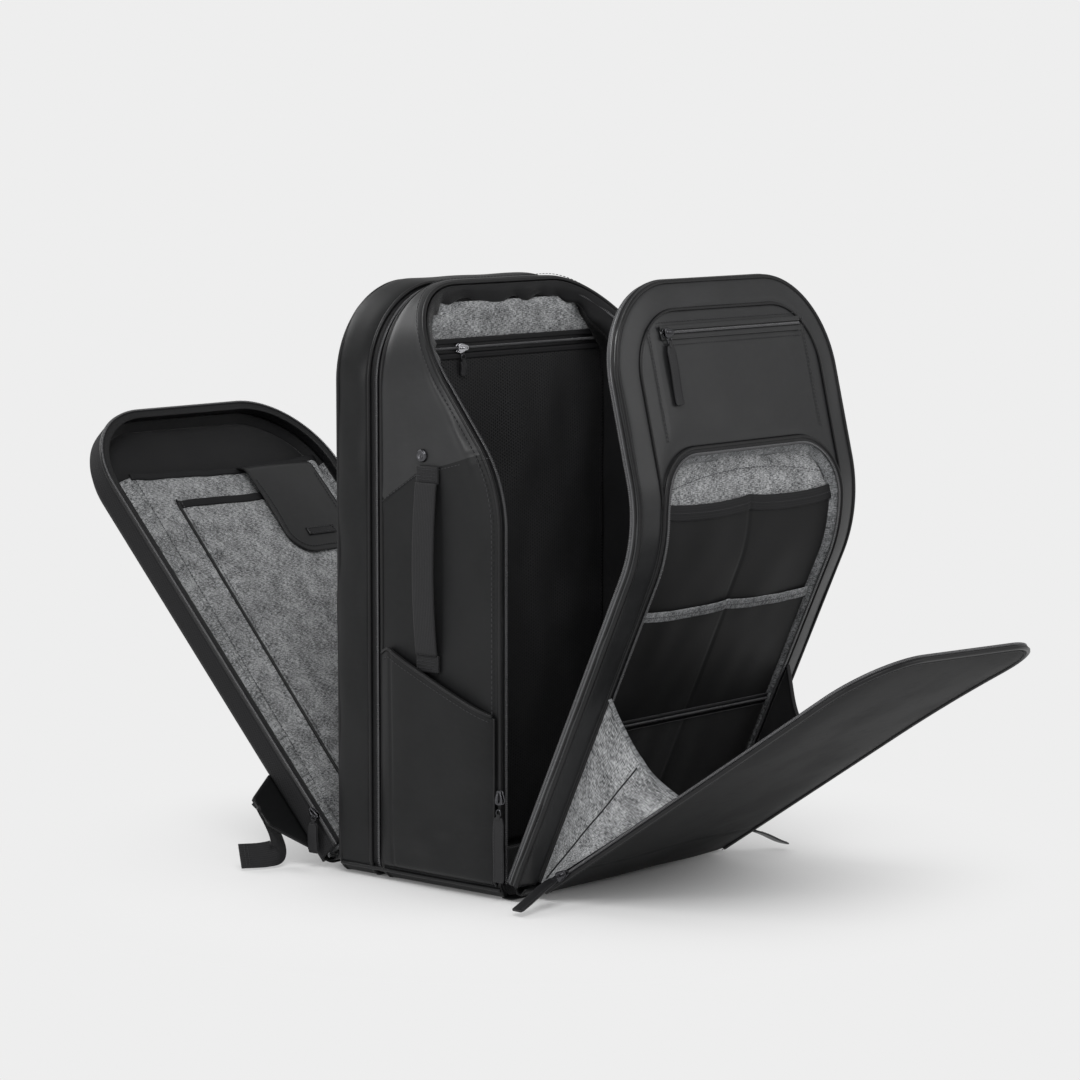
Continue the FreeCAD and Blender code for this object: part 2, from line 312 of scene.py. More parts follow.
def to_object(name: str, verts: Array, faces: Array, uv: Optional[Array], finish: "Finish",
              seat: Seat, flip: Optional[bool] = None) -> bpy.types.Object:
    """Make a mesh object at the origin from points in millimetres.

    Args:
        name: object's name.
        verts: N by 3 points at the closed place.
        faces: M by 4 (or 3) vertex numbers.
        uv: N by 2 surface coordinates in metres, or None.
        finish: its material.
        seat: the turns that carry it to rest.
        flip: None recalculates the normals of a closed shape, else keeps or flips them.

    Returns:
        The linked object.
    """
    mesh = bpy.data.meshes.new(name)
    points = seat.place(verts.reshape(-1, 3)) * METRE
    mesh.from_pydata(points.tolist(), [], faces.tolist())
    if uv is not None:
        corner = np.zeros(len(mesh.loops), np.int32)
        mesh.loops.foreach_get("vertex_index", corner)
        layer = mesh.uv_layers.new(name="Cloth")
        layer.data.foreach_set("uv", uv.reshape(-1, 2)[corner].astype(np.float32).ravel())
    if flip is None or flip:
        work = bmesh.new()
        work.from_mesh(mesh)
        if flip is None:
            bmesh.ops.recalc_face_normals(work, faces=work.faces)
        else:
            bmesh.ops.reverse_faces(work, faces=work.faces)
        work.to_mesh(mesh)
        work.free()
    mesh.polygons.foreach_set("use_smooth", np.ones(len(mesh.polygons), bool))
    mesh.materials.append(finish.material())
    obj = bpy.data.objects.new(name, mesh)
    obj["slot"] = finish.slot
    bpy.context.scene.collection.objects.link(obj)
    return obj


def grid_faces(rows: int, cols: int, wrap_rows: bool = False, wrap_cols: bool = False) -> Array:
    """Quads of a grid, whose vertex number is row * cols + column.

    Returns:
        M by 4 array of vertex numbers.
    """
    r = np.arange(rows if wrap_rows else rows - 1)
    c = np.arange(cols if wrap_cols else cols - 1)
    r, c = np.meshgrid(r, c, indexing="ij")
    r1, c1 = (r + 1) % rows, (c + 1) % cols
    return np.stack([r * cols + c, r * cols + c1, r1 * cols + c1, r1 * cols + c], -1).reshape(-1, 4)


def grid_normals(p: Array, wrap_rows: bool = False, wrap_cols: bool = False) -> Array:
    """Unit normals of a grid of points: the cross product of its two differences."""
    def step(axis: int, wrap: bool) -> Array:
        """Difference of neighbours along one axis."""
        if wrap:
            return np.roll(p, -1, axis) - np.roll(p, 1, axis)
        return np.gradient(p, axis=axis)
    return unit(np.cross(step(0, wrap_rows), step(1, wrap_cols)))


def path_lengths(path: Array) -> Array:
    """Length travelled at each point of a path, from 0 at its first."""
    return np.concatenate([[0.0], np.cumsum(np.linalg.norm(np.diff(path, axis=0), axis=1))])


def run_lengths(p: Array) -> Array:
    """Surface coordinates of a grid in metres, from the mean lengths of its rows and columns."""
    du = np.linalg.norm(np.diff(p, axis=0), axis=-1).mean(1)
    dv = np.linalg.norm(np.diff(p, axis=1), axis=-1).mean(0)
    u = np.concatenate([[0.0], np.cumsum(du)]) * METRE
    v = np.concatenate([[0.0], np.cumsum(dv)]) * METRE
    return np.stack(np.meshgrid(u, v, indexing="ij"), -1)


def sheet(name: str, p: Array, thick: float, finish: "Finish", seat: Seat = Seat.BODY,
          wrap_rows: bool = False, out: Optional[Array] = None) -> bpy.types.Object:
    """A closed layer of fabric: a grid, a copy of it moved in by thick, and the four edges.

    Args:
        name: object's name.
        p: rows by columns by 3 points of the face that shows.
        thick: thickness in millimetres, laid behind the face.
        finish: its material.
        seat: the turns that carry it to rest.
        wrap_rows: the last row joins the first.
        out: a rough outward direction, or array of them, that sets which way is behind.

    Returns:
        The object.
    """
    rows, cols = p.shape[:2]
    normal = grid_normals(p, wrap_rows)
    if out is not None:
        side = np.sign((normal * out).sum(-1).mean() or 1.0)
        normal = normal * side
    back = p - normal * thick
    faces = grid_faces(rows, cols, wrap_rows)
    count = rows * cols
    ids = np.arange(count).reshape(rows, cols)
    rims = [(ids[:, 0], wrap_rows), (ids[:, -1], wrap_rows)]
    if not wrap_rows:
        rims += [(ids[0], False), (ids[-1], False)]
    sides = []
    for rim, closed in rims:
        nxt = np.roll(rim, -1) if closed else rim[1:]
        cur = rim if closed else rim[:-1]
        sides.append(np.stack([cur, nxt, nxt + count, cur + count], -1))
    faces = np.vstack([faces, faces[:, ::-1] + count] + sides)
    uv = run_lengths(p)
    return to_object(name, np.concatenate([p.reshape(-1, 3), back.reshape(-1, 3)]), faces,
                     np.concatenate([uv.reshape(-1, 2)] * 2), finish, seat)


def round_section(radius: float, count: int = 10, flat: float = 1.0) -> Array:
    """Circle of points, its second axis scaled by flat."""
    a = np.linspace(0, 2 * math.pi, count, endpoint=False)
    return np.stack([radius * np.cos(a), radius * flat * np.sin(a)], -1)


def flat_section(width: float, thick: float, count: int = 20, power: float = 0.35) -> Array:
    """Rounded flat bar: a superellipse, cos and sin raised to a small power."""
    a = np.linspace(0, 2 * math.pi, count, endpoint=False) + 1e-4
    c, s = np.cos(a), np.sin(a)
    return np.stack([width / 2 * np.sign(c) * np.abs(c) ** power,
                     thick / 2 * np.sign(s) * np.abs(s) ** power], -1)


def sweep(name: str, path: Array, up: Array, section: Array, finish: "Finish",
          seat: Seat = Seat.BODY, closed: bool = False,
          scale: Optional[Array] = None) -> bpy.types.Object:
    """Carry a section along a path; its first axis lies across, its second along up.

    Each ring is path + section[0] * side + section[1] * rise, where side is the cross
    product of the direction and up, and rise that of side and the direction.

    Args:
        name: object's name.
        path: N by 3 points.
        up: one direction or N of them.
        section: M by 2 points round the section.
        finish: its material.
        seat: the turns that carry it to rest.
        closed: the path is a loop.
        scale: N by 2 scales of the section, or None.

    Returns:
        The object.
    """
    along = tangents(path, closed)
    side = unit(np.cross(along, np.broadcast_to(up, path.shape)))
    rise = np.cross(side, along)
    grow = np.ones((len(path), 2)) if scale is None else scale
    a = section[None, :, 0, None] * grow[:, None, 0, None]
    b = section[None, :, 1, None] * grow[:, None, 1, None]
    rings = path[:, None] + a * side[:, None] + b * rise[:, None]
    n, m = rings.shape[:2]
    faces = grid_faces(n, m, closed, True).tolist()
    if not closed:
        faces += [list(range(m)), list(range((n - 1) * m, n * m))]
    run = path_lengths(path)
    uv = np.stack(np.broadcast_arrays(run[:, None] * METRE, section[None, :, 0] * METRE), -1)
    return to_object(name, rings, RaggedFaces(faces), uv, finish, seat)


class RaggedFaces:
    """Faces with different corner counts, handed over as plain lists."""

    def __init__(self, faces: list) -> None:
        """Keep the list."""
        self.faces = faces

    def tolist(self) -> list:
        """The list itself."""
        return self.faces


def scatter(name: str, path: Array, up: Array, pitch: float, shape: Array, quads: Array,
            finish: "Finish", seat: Seat = Seat.BODY, shift: float = 0.0) -> bpy.types.Object:
    """Repeat a small closed shape along a path, as one mesh.

    The shape's axes are along, across and up the path; every copy is placed at once by
    adding its three scaled axes to its place.

    Args:
        name: object's name.
        path: N by 3 points.
        up: one direction, or one per path point.
        pitch: distance between copies.
        shape: V by 3 points of one copy.
        quads: its faces.
        finish: its material.
        seat: the turns that carry it to rest.
        shift: move of each copy across the path.

    Returns:
        The object.
    """
    run = path_lengths(path)
    at = np.arange(pitch / 2, run[-1], pitch)

    def pick(values: Array) -> Array:
        """Values at the copies' places, read between the path's points."""
        return np.stack([np.interp(at, run, values[:, i]) for i in range(3)], -1)

    along = unit(pick(tangents(path)))
    rise = unit(pick(np.broadcast_to(np.asarray(up, float), path.shape)))
    side = unit(np.cross(along, rise))
    rise = np.cross(side, along)
    place = pick(path) + side * shift
    verts = (place[:, None] + shape[None, :, 0, None] * along[:, None]
             + shape[None, :, 1, None] * side[:, None] + shape[None, :, 2, None] * rise[:, None])
    faces = (quads[None] + (np.arange(len(at)) * len(shape))[:, None, None]).reshape(-1, 4)
    return to_object(name, verts, faces, None, finish, seat)


def bead(length: float, wide: float, tall: float) -> tuple[Array, Array]:
    """A small bar with drawn-in ends and top: the shape of a stitch or a zip tooth."""
    x = np.array([-0.5, -0.3, 0.3, 0.5]) * length
    grow = np.array([0.35, 1.0, 1.0, 0.35])
    ring = np.array([[-1, 0], [-0.7, 1], [0.7, 1], [1, 0]]) * np.array([wide / 2, tall])
    pts = np.stack([np.broadcast_to(x[:, None], (4, 4)), ring[None, :, 0] * grow[:, None],
                    ring[None, :, 1] * grow[:, None] - tall * 0.3], -1).reshape(-1, 3)
    faces = np.vstack([grid_faces(4, 4, False, True), [[0, 1, 2, 3], [12, 13, 14, 15]]])
    return pts, faces


# --------------------------------------------------------------- finishes --
class Nodes:
    """Short calls that add nodes to a tree and wire them."""

    def __init__(self, tree: bpy.types.NodeTree) -> None:
        """Keep the tree."""
        self.tree = tree

    def put(self, socket: bpy.types.NodeSocket, value: object) -> None:
        """Link a socket to another, or set its value."""
        if isinstance(value, bpy.types.NodeSocket):
            self.tree.links.new(value, socket)
        elif value is not None:
            socket.default_value = value

    def add(self, kind: str, ins: Optional[dict] = None, **props: object) -> bpy.types.Node:
        """Add a node.

        Args:
            kind: node type without the ShaderNode prefix.
            ins: values or sockets by input name or number.
            props: node properties.

        Returns:
            The node.
        """
        node = self.tree.nodes.new("ShaderNode" + kind)
        for key, value in props.items():
            setattr(node, key, value)
        for key, value in (ins or {}).items():
            self.put(node.inputs[key], value)
        return node

    def math(self, operation: str, *values: object) -> bpy.types.NodeSocket:
        """Result of a Math node."""
        return self.add("Math", dict(enumerate(values)), operation=operation).outputs[0]

    def mix(self, factor: object, a: object, b: object) -> bpy.types.NodeSocket:
        """Colour between a and b."""
        node = self.add("Mix", data_type="RGBA")
        for socket, value in ((node.inputs[0], factor), (node.inputs[6], a), (node.inputs[7], b)):
            self.put(socket, value)
        return node.outputs[2]

    def noise(self, vector: object, scale: float, detail: float = 3.0) -> bpy.types.NodeSocket:
        """Noise value at a scale."""
        return self.add("TexNoise", {"Vector": vector, "Scale": scale, "Detail": detail}).outputs[0]

    def scaled(self, vector: object, scale: Sequence[float]) -> bpy.types.NodeSocket:
        """A vector multiplied by three factors."""
        return self.add("Mapping", {"Vector": vector, "Scale": scale}).outputs[0]

    def ramp(self, value: object, low: float, high: float) -> bpy.types.NodeSocket:
        """Value taken smoothly from 0 at low to 1 at high."""
        node = self.add("MapRange", {0: value, 1: low, 2: high}, interpolation_type="SMOOTHSTEP")
        return node.outputs[0]

    def group(self, name: str, **ins: object) -> bpy.types.Node:
        """Place one of the shared effects."""
        node = self.add("Group", node_tree=EFFECTS[name]())
        for key, value in ins.items():
            self.put(node.inputs[key], value)
        return node


def effect(name: str, ins: dict, outs: Sequence[str],
           wire: Callable[[Nodes, dict], dict]) -> bpy.types.NodeTree:
    """Build a shared effect once, or fetch it.

    Args:
        name: group's name.
        ins: socket names with a default: a number, or None for a vector.
        outs: names of the value outputs.
        wire: makes the inside, from the inputs to the outputs.

    Returns:
        The node group.
    """
    if name in bpy.data.node_groups:
        return bpy.data.node_groups[name]
    tree = bpy.data.node_groups.new(name, "ShaderNodeTree")
    for key, value in ins.items():
        kind = "NodeSocketVector" if value is None else "NodeSocketFloat"
        socket = tree.interface.new_socket(key, in_out="INPUT", socket_type=kind)
        if value is not None:
            socket.default_value = value
    for key in outs:
        tree.interface.new_socket(key, in_out="OUTPUT", socket_type="NodeSocketFloat")
    nodes = Nodes(tree)
    source, sink = tree.nodes.new("NodeGroupInput"), tree.nodes.new("NodeGroupOutput")
    for key, socket in wire(nodes, {k: source.outputs[k] for k in ins}).items():
        tree.links.new(socket, sink.inputs[key])
    return tree


def weave_effect() -> bpy.types.NodeTree:
    """Plain weave: each thread's round height, over and under by the parity of its cell."""
    def wire(n: Nodes, i: dict) -> dict:
        """The group's nodes, from its input sockets to its outputs."""
        place = n.add("VectorMath", {0: i["Place"], 3: i["Threads"]}, operation="SCALE").outputs[0]
        cut = n.add("SeparateXYZ", {0: place})
        u, v = cut.outputs[0], cut.outputs[1]
        half_u = n.math("ABSOLUTE", n.math("SINE", n.math("MULTIPLY", u, math.pi)))
        half_v = n.math("ABSOLUTE", n.math("SINE", n.math("MULTIPLY", v, math.pi)))
        cell = n.math("ADD", n.math("FLOOR", u), n.math("FLOOR", v))
        over = n.math("PINGPONG", cell, 1.0)
        rise = n.math("ADD", n.math("MULTIPLY", over, half_u),
                      n.math("MULTIPLY", n.math("SUBTRACT", 1.0, over), half_v))
        gap = n.math("MULTIPLY", half_u, half_v)
        return {"Height": n.math("MULTIPLY", rise, n.math("POWER", gap, 0.35)), "Over": over}
    return effect("Weave", {"Place": None, "Threads": 1800.0}, ("Height", "Over"), wire)


def heather_effect() -> bpy.types.NodeTree:
    """Mixed yarn: dark and light fibres in short streaks along both thread directions."""
    def wire(n: Nodes, i: dict) -> dict:
        """The group's nodes, from its input sockets to its outputs."""
        streak_u = n.noise(n.scaled(i["Place"], (260.0, 1500.0, 1.0)), 1.0, 2.0)
        streak_v = n.noise(n.scaled(i["Place"], (1700.0, 230.0, 1.0)), 1.0, 2.0)
        fleck = n.noise(i["Place"], 60.0, 3.0)
        total = n.math("ADD", n.math("ADD", n.math("MULTIPLY", streak_u, 0.7), streak_v),
                       n.math("MULTIPLY", fleck, 0.36))
        return {"Light": n.ramp(total, 0.80, 1.34), "Height": total}
    return effect("Heather", {"Place": None}, ("Light", "Height"), wire)


def grain_effect() -> bpy.types.NodeTree:
    """Fine pebbled coating: small rounded cells with a broader unevenness under them."""
    def wire(n: Nodes, i: dict) -> dict:
        """The group's nodes, from its input sockets to its outputs."""
        cell = n.add("TexVoronoi", {"Vector": i["Place"], "Scale": i["Cells"]},
                     feature="SMOOTH_F1").outputs[0]
        broad = n.noise(i["Place"], 140.0, 4.0)
        return {"Height": n.math("ADD", n.math("MULTIPLY", cell, 0.6), broad), "Broad": broad}
    return effect("Grain", {"Place": None, "Cells": 1500.0}, ("Height", "Broad"), wire)


def handling_effect() -> bpy.types.NodeTree:
    """Dust and rub marks: broad soft blotches broken up by fine scratches."""
    def wire(n: Nodes, i: dict) -> dict:
        """The group's nodes, from its input sockets to its outputs."""
        blotch = n.ramp(n.noise(i["Place"], 11.0, 5.0), 0.42, 0.72)
        scuff = n.ramp(n.noise(n.scaled(i["Place"], (60.0, 60.0, 420.0)), 1.0, 3.0), 0.55, 0.75)
        return {"Mask": n.math("ADD", n.math("MULTIPLY", blotch, 0.7),
                               n.math("MULTIPLY", scuff, 0.3))}
    return effect("Handling", {"Place": None}, ("Mask",), wire)


def mesh_effect() -> bpy.types.NodeTree:
    """Knitted mesh: round holes on staggered rows, and the cord's height between them."""
    def wire(n: Nodes, i: dict) -> dict:
        """The group's nodes, from its input sockets to its outputs."""
        place = n.add("VectorMath", {0: i["Place"], 3: i["Holes"]}, operation="SCALE").outputs[0]
        cut = n.add("SeparateXYZ", {0: place})
        row = n.math("FLOOR", cut.outputs[1])
        shift = n.math("MULTIPLY", n.math("PINGPONG", row, 1.0), 0.5)
        u = n.math("SUBTRACT", n.math("FRACT", n.math("ADD", cut.outputs[0], shift)), 0.5)
        v = n.math("SUBTRACT", n.math("FRACT", cut.outputs[1]), 0.5)
        far = n.math("SQRT", n.math("ADD", n.math("MULTIPLY", u, u), n.math("MULTIPLY", v, v)))
        return {"Solid": n.ramp(far, i["Open"], n.math("ADD", i["Open"], 0.08)),
                "Height": n.math("MINIMUM", far, 0.5)}
    return effect("Knit", {"Place": None, "Holes": 420.0, "Open": 0.24}, ("Solid", "Height"), wire)


def rib_effect() -> bpy.types.NodeTree:
    """Webbing: rounded ribs along the strap, with a finer beat across them."""
    def wire(n: Nodes, i: dict) -> dict:
        """The group's nodes, from its input sockets to its outputs."""
        cut = n.add("SeparateXYZ", {0: i["Place"]})
        across = n.math("ABSOLUTE", n.math("SINE", n.math("MULTIPLY", cut.outputs[1], 1600.0)))
        along = n.math("ABSOLUTE", n.math("SINE", n.math("MULTIPLY", cut.outputs[0], 2600.0)))
        return {"Height": n.math("ADD", across, n.math("MULTIPLY", along, 0.35))}
    return effect("Ribs", {"Place": None}, ("Height",), wire)


EFFECTS = {"Weave": weave_effect, "Heather": heather_effect, "Grain": grain_effect,
           "Handling": handling_effect, "Knit": mesh_effect, "Ribs": rib_effect}


class Yarn(Enum):
    """What the surface of a fabric is made of."""

    COATED = "coated"
    WOVEN = "woven"
    HEATHER = "heather"
    KNIT = "knit"
    SPACER = "spacer"
    RIBBED = "ribbed"
    MOULDED = "moulded"


@dataclass(frozen=True)
class Fabric(Finish):
    """A soft finish.

    Args:
        name: material's name.
        slot: the record's slot it stands for.
        color: base colour.
        rough: base roughness.
        yarn: kind of surface.
        relief: height of its texture in millimetres.
        light: second colour, of heather's light fibres.
        threads: threads or holes per metre.
        sheen: weight of the fuzz that catches light at grazing angles.
        follow: True to run the pattern along the piece's own surface coordinates.
        gloss: strength of its reflections.
    """

    name: str
    slot: str
    color: tuple[float, float, float]
    rough: float
    yarn: Yarn
    relief: float = 0.12
    light: tuple[float, float, float] = (0.4, 0.4, 0.4)
    threads: float = 1600.0
    sheen: float = 0.0
    follow: bool = True
    gloss: float = 0.24

    def material(self) -> bpy.types.Material:
        """Build the material once, or fetch it."""
        if self.name in bpy.data.materials:
            return bpy.data.materials[self.name]
        material = bpy.data.materials.new(self.name)
        material.use_nodes = True
        n = Nodes(material.node_tree)
        shader = material.node_tree.nodes["Principled BSDF"]
        body = n.add("TexCoord").outputs["Object"]
        place = n.add("UVMap", uv_map="Cloth").outputs[0] if self.follow else body
        handled = n.group("Handling", Place=body).outputs["Mask"]
        color, height, rough = self.surface(n, place, handled)
        n.put(shader.inputs["Base Color"], color)
        n.put(shader.inputs["Roughness"], rough)
        shader.inputs["Sheen Weight"].default_value = self.sheen
        shader.inputs["Sheen Roughness"].default_value = 0.4
        shader.inputs["Specular IOR Level"].default_value = self.gloss
        bump = n.add("Bump", {"Height": height, "Strength": 1.0, "Distance": 1.0})
        n.put(shader.inputs["Normal"], bump.outputs[0])
        if self.yarn is Yarn.KNIT:
            solid = n.group("Knit", Place=place, Holes=self.threads, Open=0.22).outputs["Solid"]
            n.put(shader.inputs["Alpha"], solid)
        return material

    def surface(self, n: Nodes, place: object, handled: object) -> tuple:
        """Colour, height in metres and roughness of the fabric.

        Args:
            n: node builder.
            place: surface coordinates.
            handled: mask of dust and rub marks.

        Returns:
            The three sockets.
        """
        dark = (*self.color, 1.0)
        faded = tuple(min(c * 1.5 + 0.004, 1.0) for c in self.color) + (1.0,)
        shade = n.mix(handled, dark, faded)
        depth = self.relief * METRE
        rough = n.math("ADD", n.math("MULTIPLY", handled, 0.14), self.rough - 0.05)
        if self.yarn in (Yarn.COATED, Yarn.MOULDED):
            grain = n.group("Grain", Place=place, Cells=self.threads)
            tone = n.mix(n.math("MULTIPLY", grain.outputs["Broad"], 0.5), shade, faded)
            return tone, n.math("MULTIPLY", grain.outputs["Height"], depth), rough
        if self.yarn is Yarn.HEATHER:
            yarn = n.group("Heather", Place=place)
            weave = n.group("Weave", Place=place, Threads=self.threads).outputs["Height"]
            tone = n.mix(yarn.outputs["Light"], dark, (*self.light, 1.0))
            return n.mix(n.math("MULTIPLY", handled, 0.12), tone, dark), n.math(
                "MULTIPLY", weave, depth), rough
        if self.yarn in (Yarn.KNIT, Yarn.SPACER):
            knit = n.group("Knit", Place=place, Holes=self.threads, Open=0.24)
            # The mesh's holes take 0.35 of the colour: painted shade in its openings.
            tone = n.mix(knit.outputs["Solid"], tuple(c * 0.35 for c in self.color) + (1.0,), shade)
            return tone, n.math("MULTIPLY", knit.outputs["Height"], depth * 2.0), rough
        name = "Ribs" if self.yarn is Yarn.RIBBED else "Weave"
        group = n.group(name, Place=place)
        if name == "Weave":
            group.inputs["Threads"].default_value = self.threads
        high = group.outputs["Height"]
        # The low parts of the weave or ribs take 0.6 of the colour: painted shade between the threads.
        return n.mix(high, tuple(c * 0.6 for c in self.color) + (1.0,), shade), n.math(
            "MULTIPLY", high, depth), rough


@dataclass(frozen=True)
class Metal(Finish):
    """Plated metal with faint rub marks.

    Args:
        name: material's name.
        slot: the record's slot it stands for.
        color: plating colour.
        rough: roughness where it is clean.
    """

    name: str
    slot: str
    color: tuple[float, float, float]
    rough: float

    def material(self) -> bpy.types.Material:
        """Build the material once, or fetch it."""
        if self.name in bpy.data.materials:
            return bpy.data.materials[self.name]
        material = bpy.data.materials.new(self.name)
        material.use_nodes = True
        n = Nodes(material.node_tree)
        shader = material.node_tree.nodes["Principled BSDF"]
        body = n.add("TexCoord").outputs["Object"]
        mask = n.group("Handling", Place=body).outputs["Mask"]
        grain = n.group("Grain", Place=body, Cells=2500.0)
        bright = tuple(min(c * 1.6 + 0.02, 1.0) for c in self.color) + (1.0,)
        n.put(shader.inputs["Base Color"], n.mix(mask, (*self.color, 1.0), bright))
        n.put(shader.inputs["Roughness"], n.math("ADD", n.math("MULTIPLY", mask, 0.2), self.rough))
        shader.inputs["Metallic"].default_value = 1.0
        high = n.math("MULTIPLY", grain.outputs["Height"], 0.00003)
        bump = n.add("Bump", {"Height": high, "Strength": 1.0, "Distance": 1.0})
        n.put(shader.inputs["Normal"], bump.outputs[0])
        return material


SHELL = Fabric("CoatedShell", "shell", (0.0065, 0.0067, 0.0071), 0.46, Yarn.COATED, 0.045, gloss=0.2)
SATIN = Fabric("SatinShell", "shell", (0.0165, 0.0168, 0.0175), 0.40, Yarn.COATED, 0.03, gloss=0.32)
PIPING = Fabric("Piping", "shell", (0.009, 0.009, 0.0095), 0.4, Yarn.COATED, 0.03)
LINING = Fabric("BlackLining", "shell", (0.008, 0.008, 0.009), 0.65, Yarn.WOVEN, 0.08, sheen=0.15)
HEATHER = Fabric("HeatherLining", "lining", (0.055, 0.057, 0.06), 0.88, Yarn.HEATHER, 0.12,
                 light=(0.62, 0.63, 0.64), threads=1500.0, sheen=0.1)
BINDING = Fabric("HeatherBinding", "lining", (0.06, 0.062, 0.066), 0.85, Yarn.HEATHER, 0.12,
                 light=(0.44, 0.45, 0.46), threads=1700.0)
BLACK_BINDING = Fabric("BlackBinding", "webbing", (0.010, 0.010, 0.011), 0.7, Yarn.RIBBED, 0.06)
KNIT = Fabric("PocketMesh", "mesh", (0.017, 0.017, 0.018), 0.6, Yarn.KNIT, 0.16, threads=330.0)
SPACER = Fabric("SpacerMesh", "mesh", (0.018, 0.018, 0.019), 0.75, Yarn.SPACER, 0.35,
                threads=230.0, sheen=0.2, follow=False)
WEBBING = Fabric("Webbing", "webbing", (0.013, 0.013, 0.014), 0.62, Yarn.RIBBED, 0.16, sheen=0.1)
TAPE = Fabric("ZipTape", "zip_tape", (0.009, 0.009, 0.01), 0.4, Yarn.WOVEN, 0.05, threads=1900.0)
COATED_TAPE = Fabric("CoatedZipTape", "zip_tape", (0.013, 0.0135, 0.0145), 0.25, Yarn.COATED, 0.02, gloss=0.6)
# Glossy zip tape for the lid's rim: its reflections are real, and its base colour is set well above the
# coated tape's as a painted highlight along the curled edge.
GLOSSY_TAPE_PAINTED_HIGHLIGHT = Fabric("SatinZipTape", "zip_tape", (0.045, 0.046, 0.049), 0.24, Yarn.COATED, 0.02,
                     gloss=0.9)
COIL = Fabric("ZipCoil", "zip_tape", (0.06, 0.06, 0.063), 0.3, Yarn.MOULDED, 0.01, follow=False,
              gloss=0.6)
STITCH = Fabric("Stitching", "webbing", (0.03, 0.03, 0.032), 0.55, Yarn.MOULDED, 0.02, follow=False)
PALE_STITCH = Fabric("LiningStitching", "lining", (0.07, 0.07, 0.075), 0.7, Yarn.MOULDED, 0.02,
                     follow=False)
RUBBER = Fabric("PullTab", "pull_tab", (0.012, 0.012, 0.013), 0.42, Yarn.MOULDED, 0.02, follow=False)
PATCH = Fabric("PlainPatch", "shell", (0.012, 0.012, 0.013), 0.3, Yarn.COATED, 0.02)
PADDED = Fabric("PaddedFace", "padding", (0.014, 0.014, 0.015), 0.7, Yarn.WOVEN, 0.2, threads=900.0,
                sheen=0.2, follow=False)
MATTE = Fabric("MatteShell", "shell", (0.0065, 0.0067, 0.007), 0.62, Yarn.COATED, 0.04, gloss=0.08)
FINE_MESH = Fabric("FineMesh", "mesh", (0.009, 0.009, 0.0095), 0.6, Yarn.SPACER, 0.05,
                   threads=850.0, sheen=0.04, gloss=0.15)
AIR_MESH = Fabric("WallMesh", "shell", (0.012, 0.012, 0.013), 0.8, Yarn.SPACER, 0.2, threads=420.0)
GUNMETAL = Metal("BlackPlating", "hardware", (0.065, 0.065, 0.07), 0.26)
BRIGHT = Metal("BrightPlating", "hardware", (0.42, 0.42, 0.44), 0.2)


# ---------------------------------------------------------- sewing helpers --
def attach(obj: bpy.types.Object, body: str, *nodes: str) -> bpy.types.Object:
    """Put a piece on a body and hide the frame nodes it stands for.

    Args:
        obj: the finished piece.
        body: the body it moves with.
        nodes: frame nodes it replaces.

    Returns:
        The piece.
    """
    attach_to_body(obj, body)
    if nodes:
        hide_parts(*nodes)
    log.info("%s rides on %s", obj.name, body)
    return obj


def bend(obj: bpy.types.Object, first: str, second: str, start: Array, end: Array,
         *nodes: str) -> bpy.types.Object:
    """Bake a piece of fabric that crosses from one body to another into its rest place, without putting it on
    either body, and hide the frame nodes it replaces.

    Args:
        obj: the finished piece.
        first: body at its start, named only in the log.
        second: body at its end, named only in the log.
        start: place in millimetres at rest; not used.
        end: place in millimetres at rest; not used.
        nodes: frame nodes it replaces.

    Returns:
        The piece.
    """
    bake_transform(obj)
    if nodes:
        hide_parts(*nodes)
    log.info("%s bends from %s to %s", obj.name, first, second)
    return obj


def paint(obj: bpy.types.Object, finish: Finish, chosen: Array) -> None:
    """Give the chosen faces of a piece a second finish.

    Args:
        obj: the piece.
        finish: the second finish.
        chosen: True for each face that takes it.
    """
    obj.data.materials.append(finish.material())
    obj.data.polygons.foreach_set("material_index", chosen.astype(np.int32))
    obj.data.update()


def face_centres(obj: bpy.types.Object) -> Array:
    """Centres of a piece's faces at rest, in millimetres."""
    centre = np.zeros((len(obj.data.polygons), 3), np.float32)
    obj.data.polygons.foreach_get("center", centre.ravel())
    return centre / METRE


def half_at(z: Array, half: float, z0: float, z1: float, r_base: float, r_top: float) -> Array:
    """Half width of a rounded outline: half, less what each corner's quarter circle takes."""
    low = np.clip(z0 + r_base - z, 0.0, r_base)
    high = np.clip(z - z1 + r_top, 0.0, r_top)
    return (half - (r_base - np.sqrt(r_base ** 2 - low ** 2))
            - (r_top - np.sqrt(r_top ** 2 - high ** 2)))


def fill(half: float, z0: float, z1: float, r_base: float, r_top: float, rows: int,
         cols: int) -> tuple[Array, Array]:
    """Grid that fills a rounded outline: x = u * half width at z, with rows closer at the ends."""
    t = 0.5 - 0.5 * np.cos(np.linspace(0.0, math.pi, rows))
    z = (z0 + (z1 - z0) * t)[:, None]
    x = np.linspace(-1.0, 1.0, cols)[None, :] * half_at(z, half, z0, z1, r_base, r_top)
    return np.broadcast_arrays(x, z)


def loft(first: Array, second: Array, count: int) -> Array:
    """Straight grid between two lines with as many points as each other."""
    t = np.linspace(0.0, 1.0, count)[None, :, None]
    return first[:, None] * (1.0 - t) + second[:, None] * t


def piping(name: str, path: Array, up: Array, seat: Seat, finish: Finish, radius: float = 1.9,
           closed: bool = False) -> bpy.types.Object:
    """A round sewn edge along a path."""
    return sweep(name, path, up, round_section(radius, 8), finish, seat, closed)


def stitches(name: str, path: Array, up: Array, seat: Seat, finish: Finish,
             pitch: float = 4.2) -> bpy.types.Object:
    """A row of thread bars along a path."""
    shape, quads = bead(pitch * 0.72, 0.75, 0.55)
    return scatter(name, path, up, pitch, shape, quads, finish, seat)


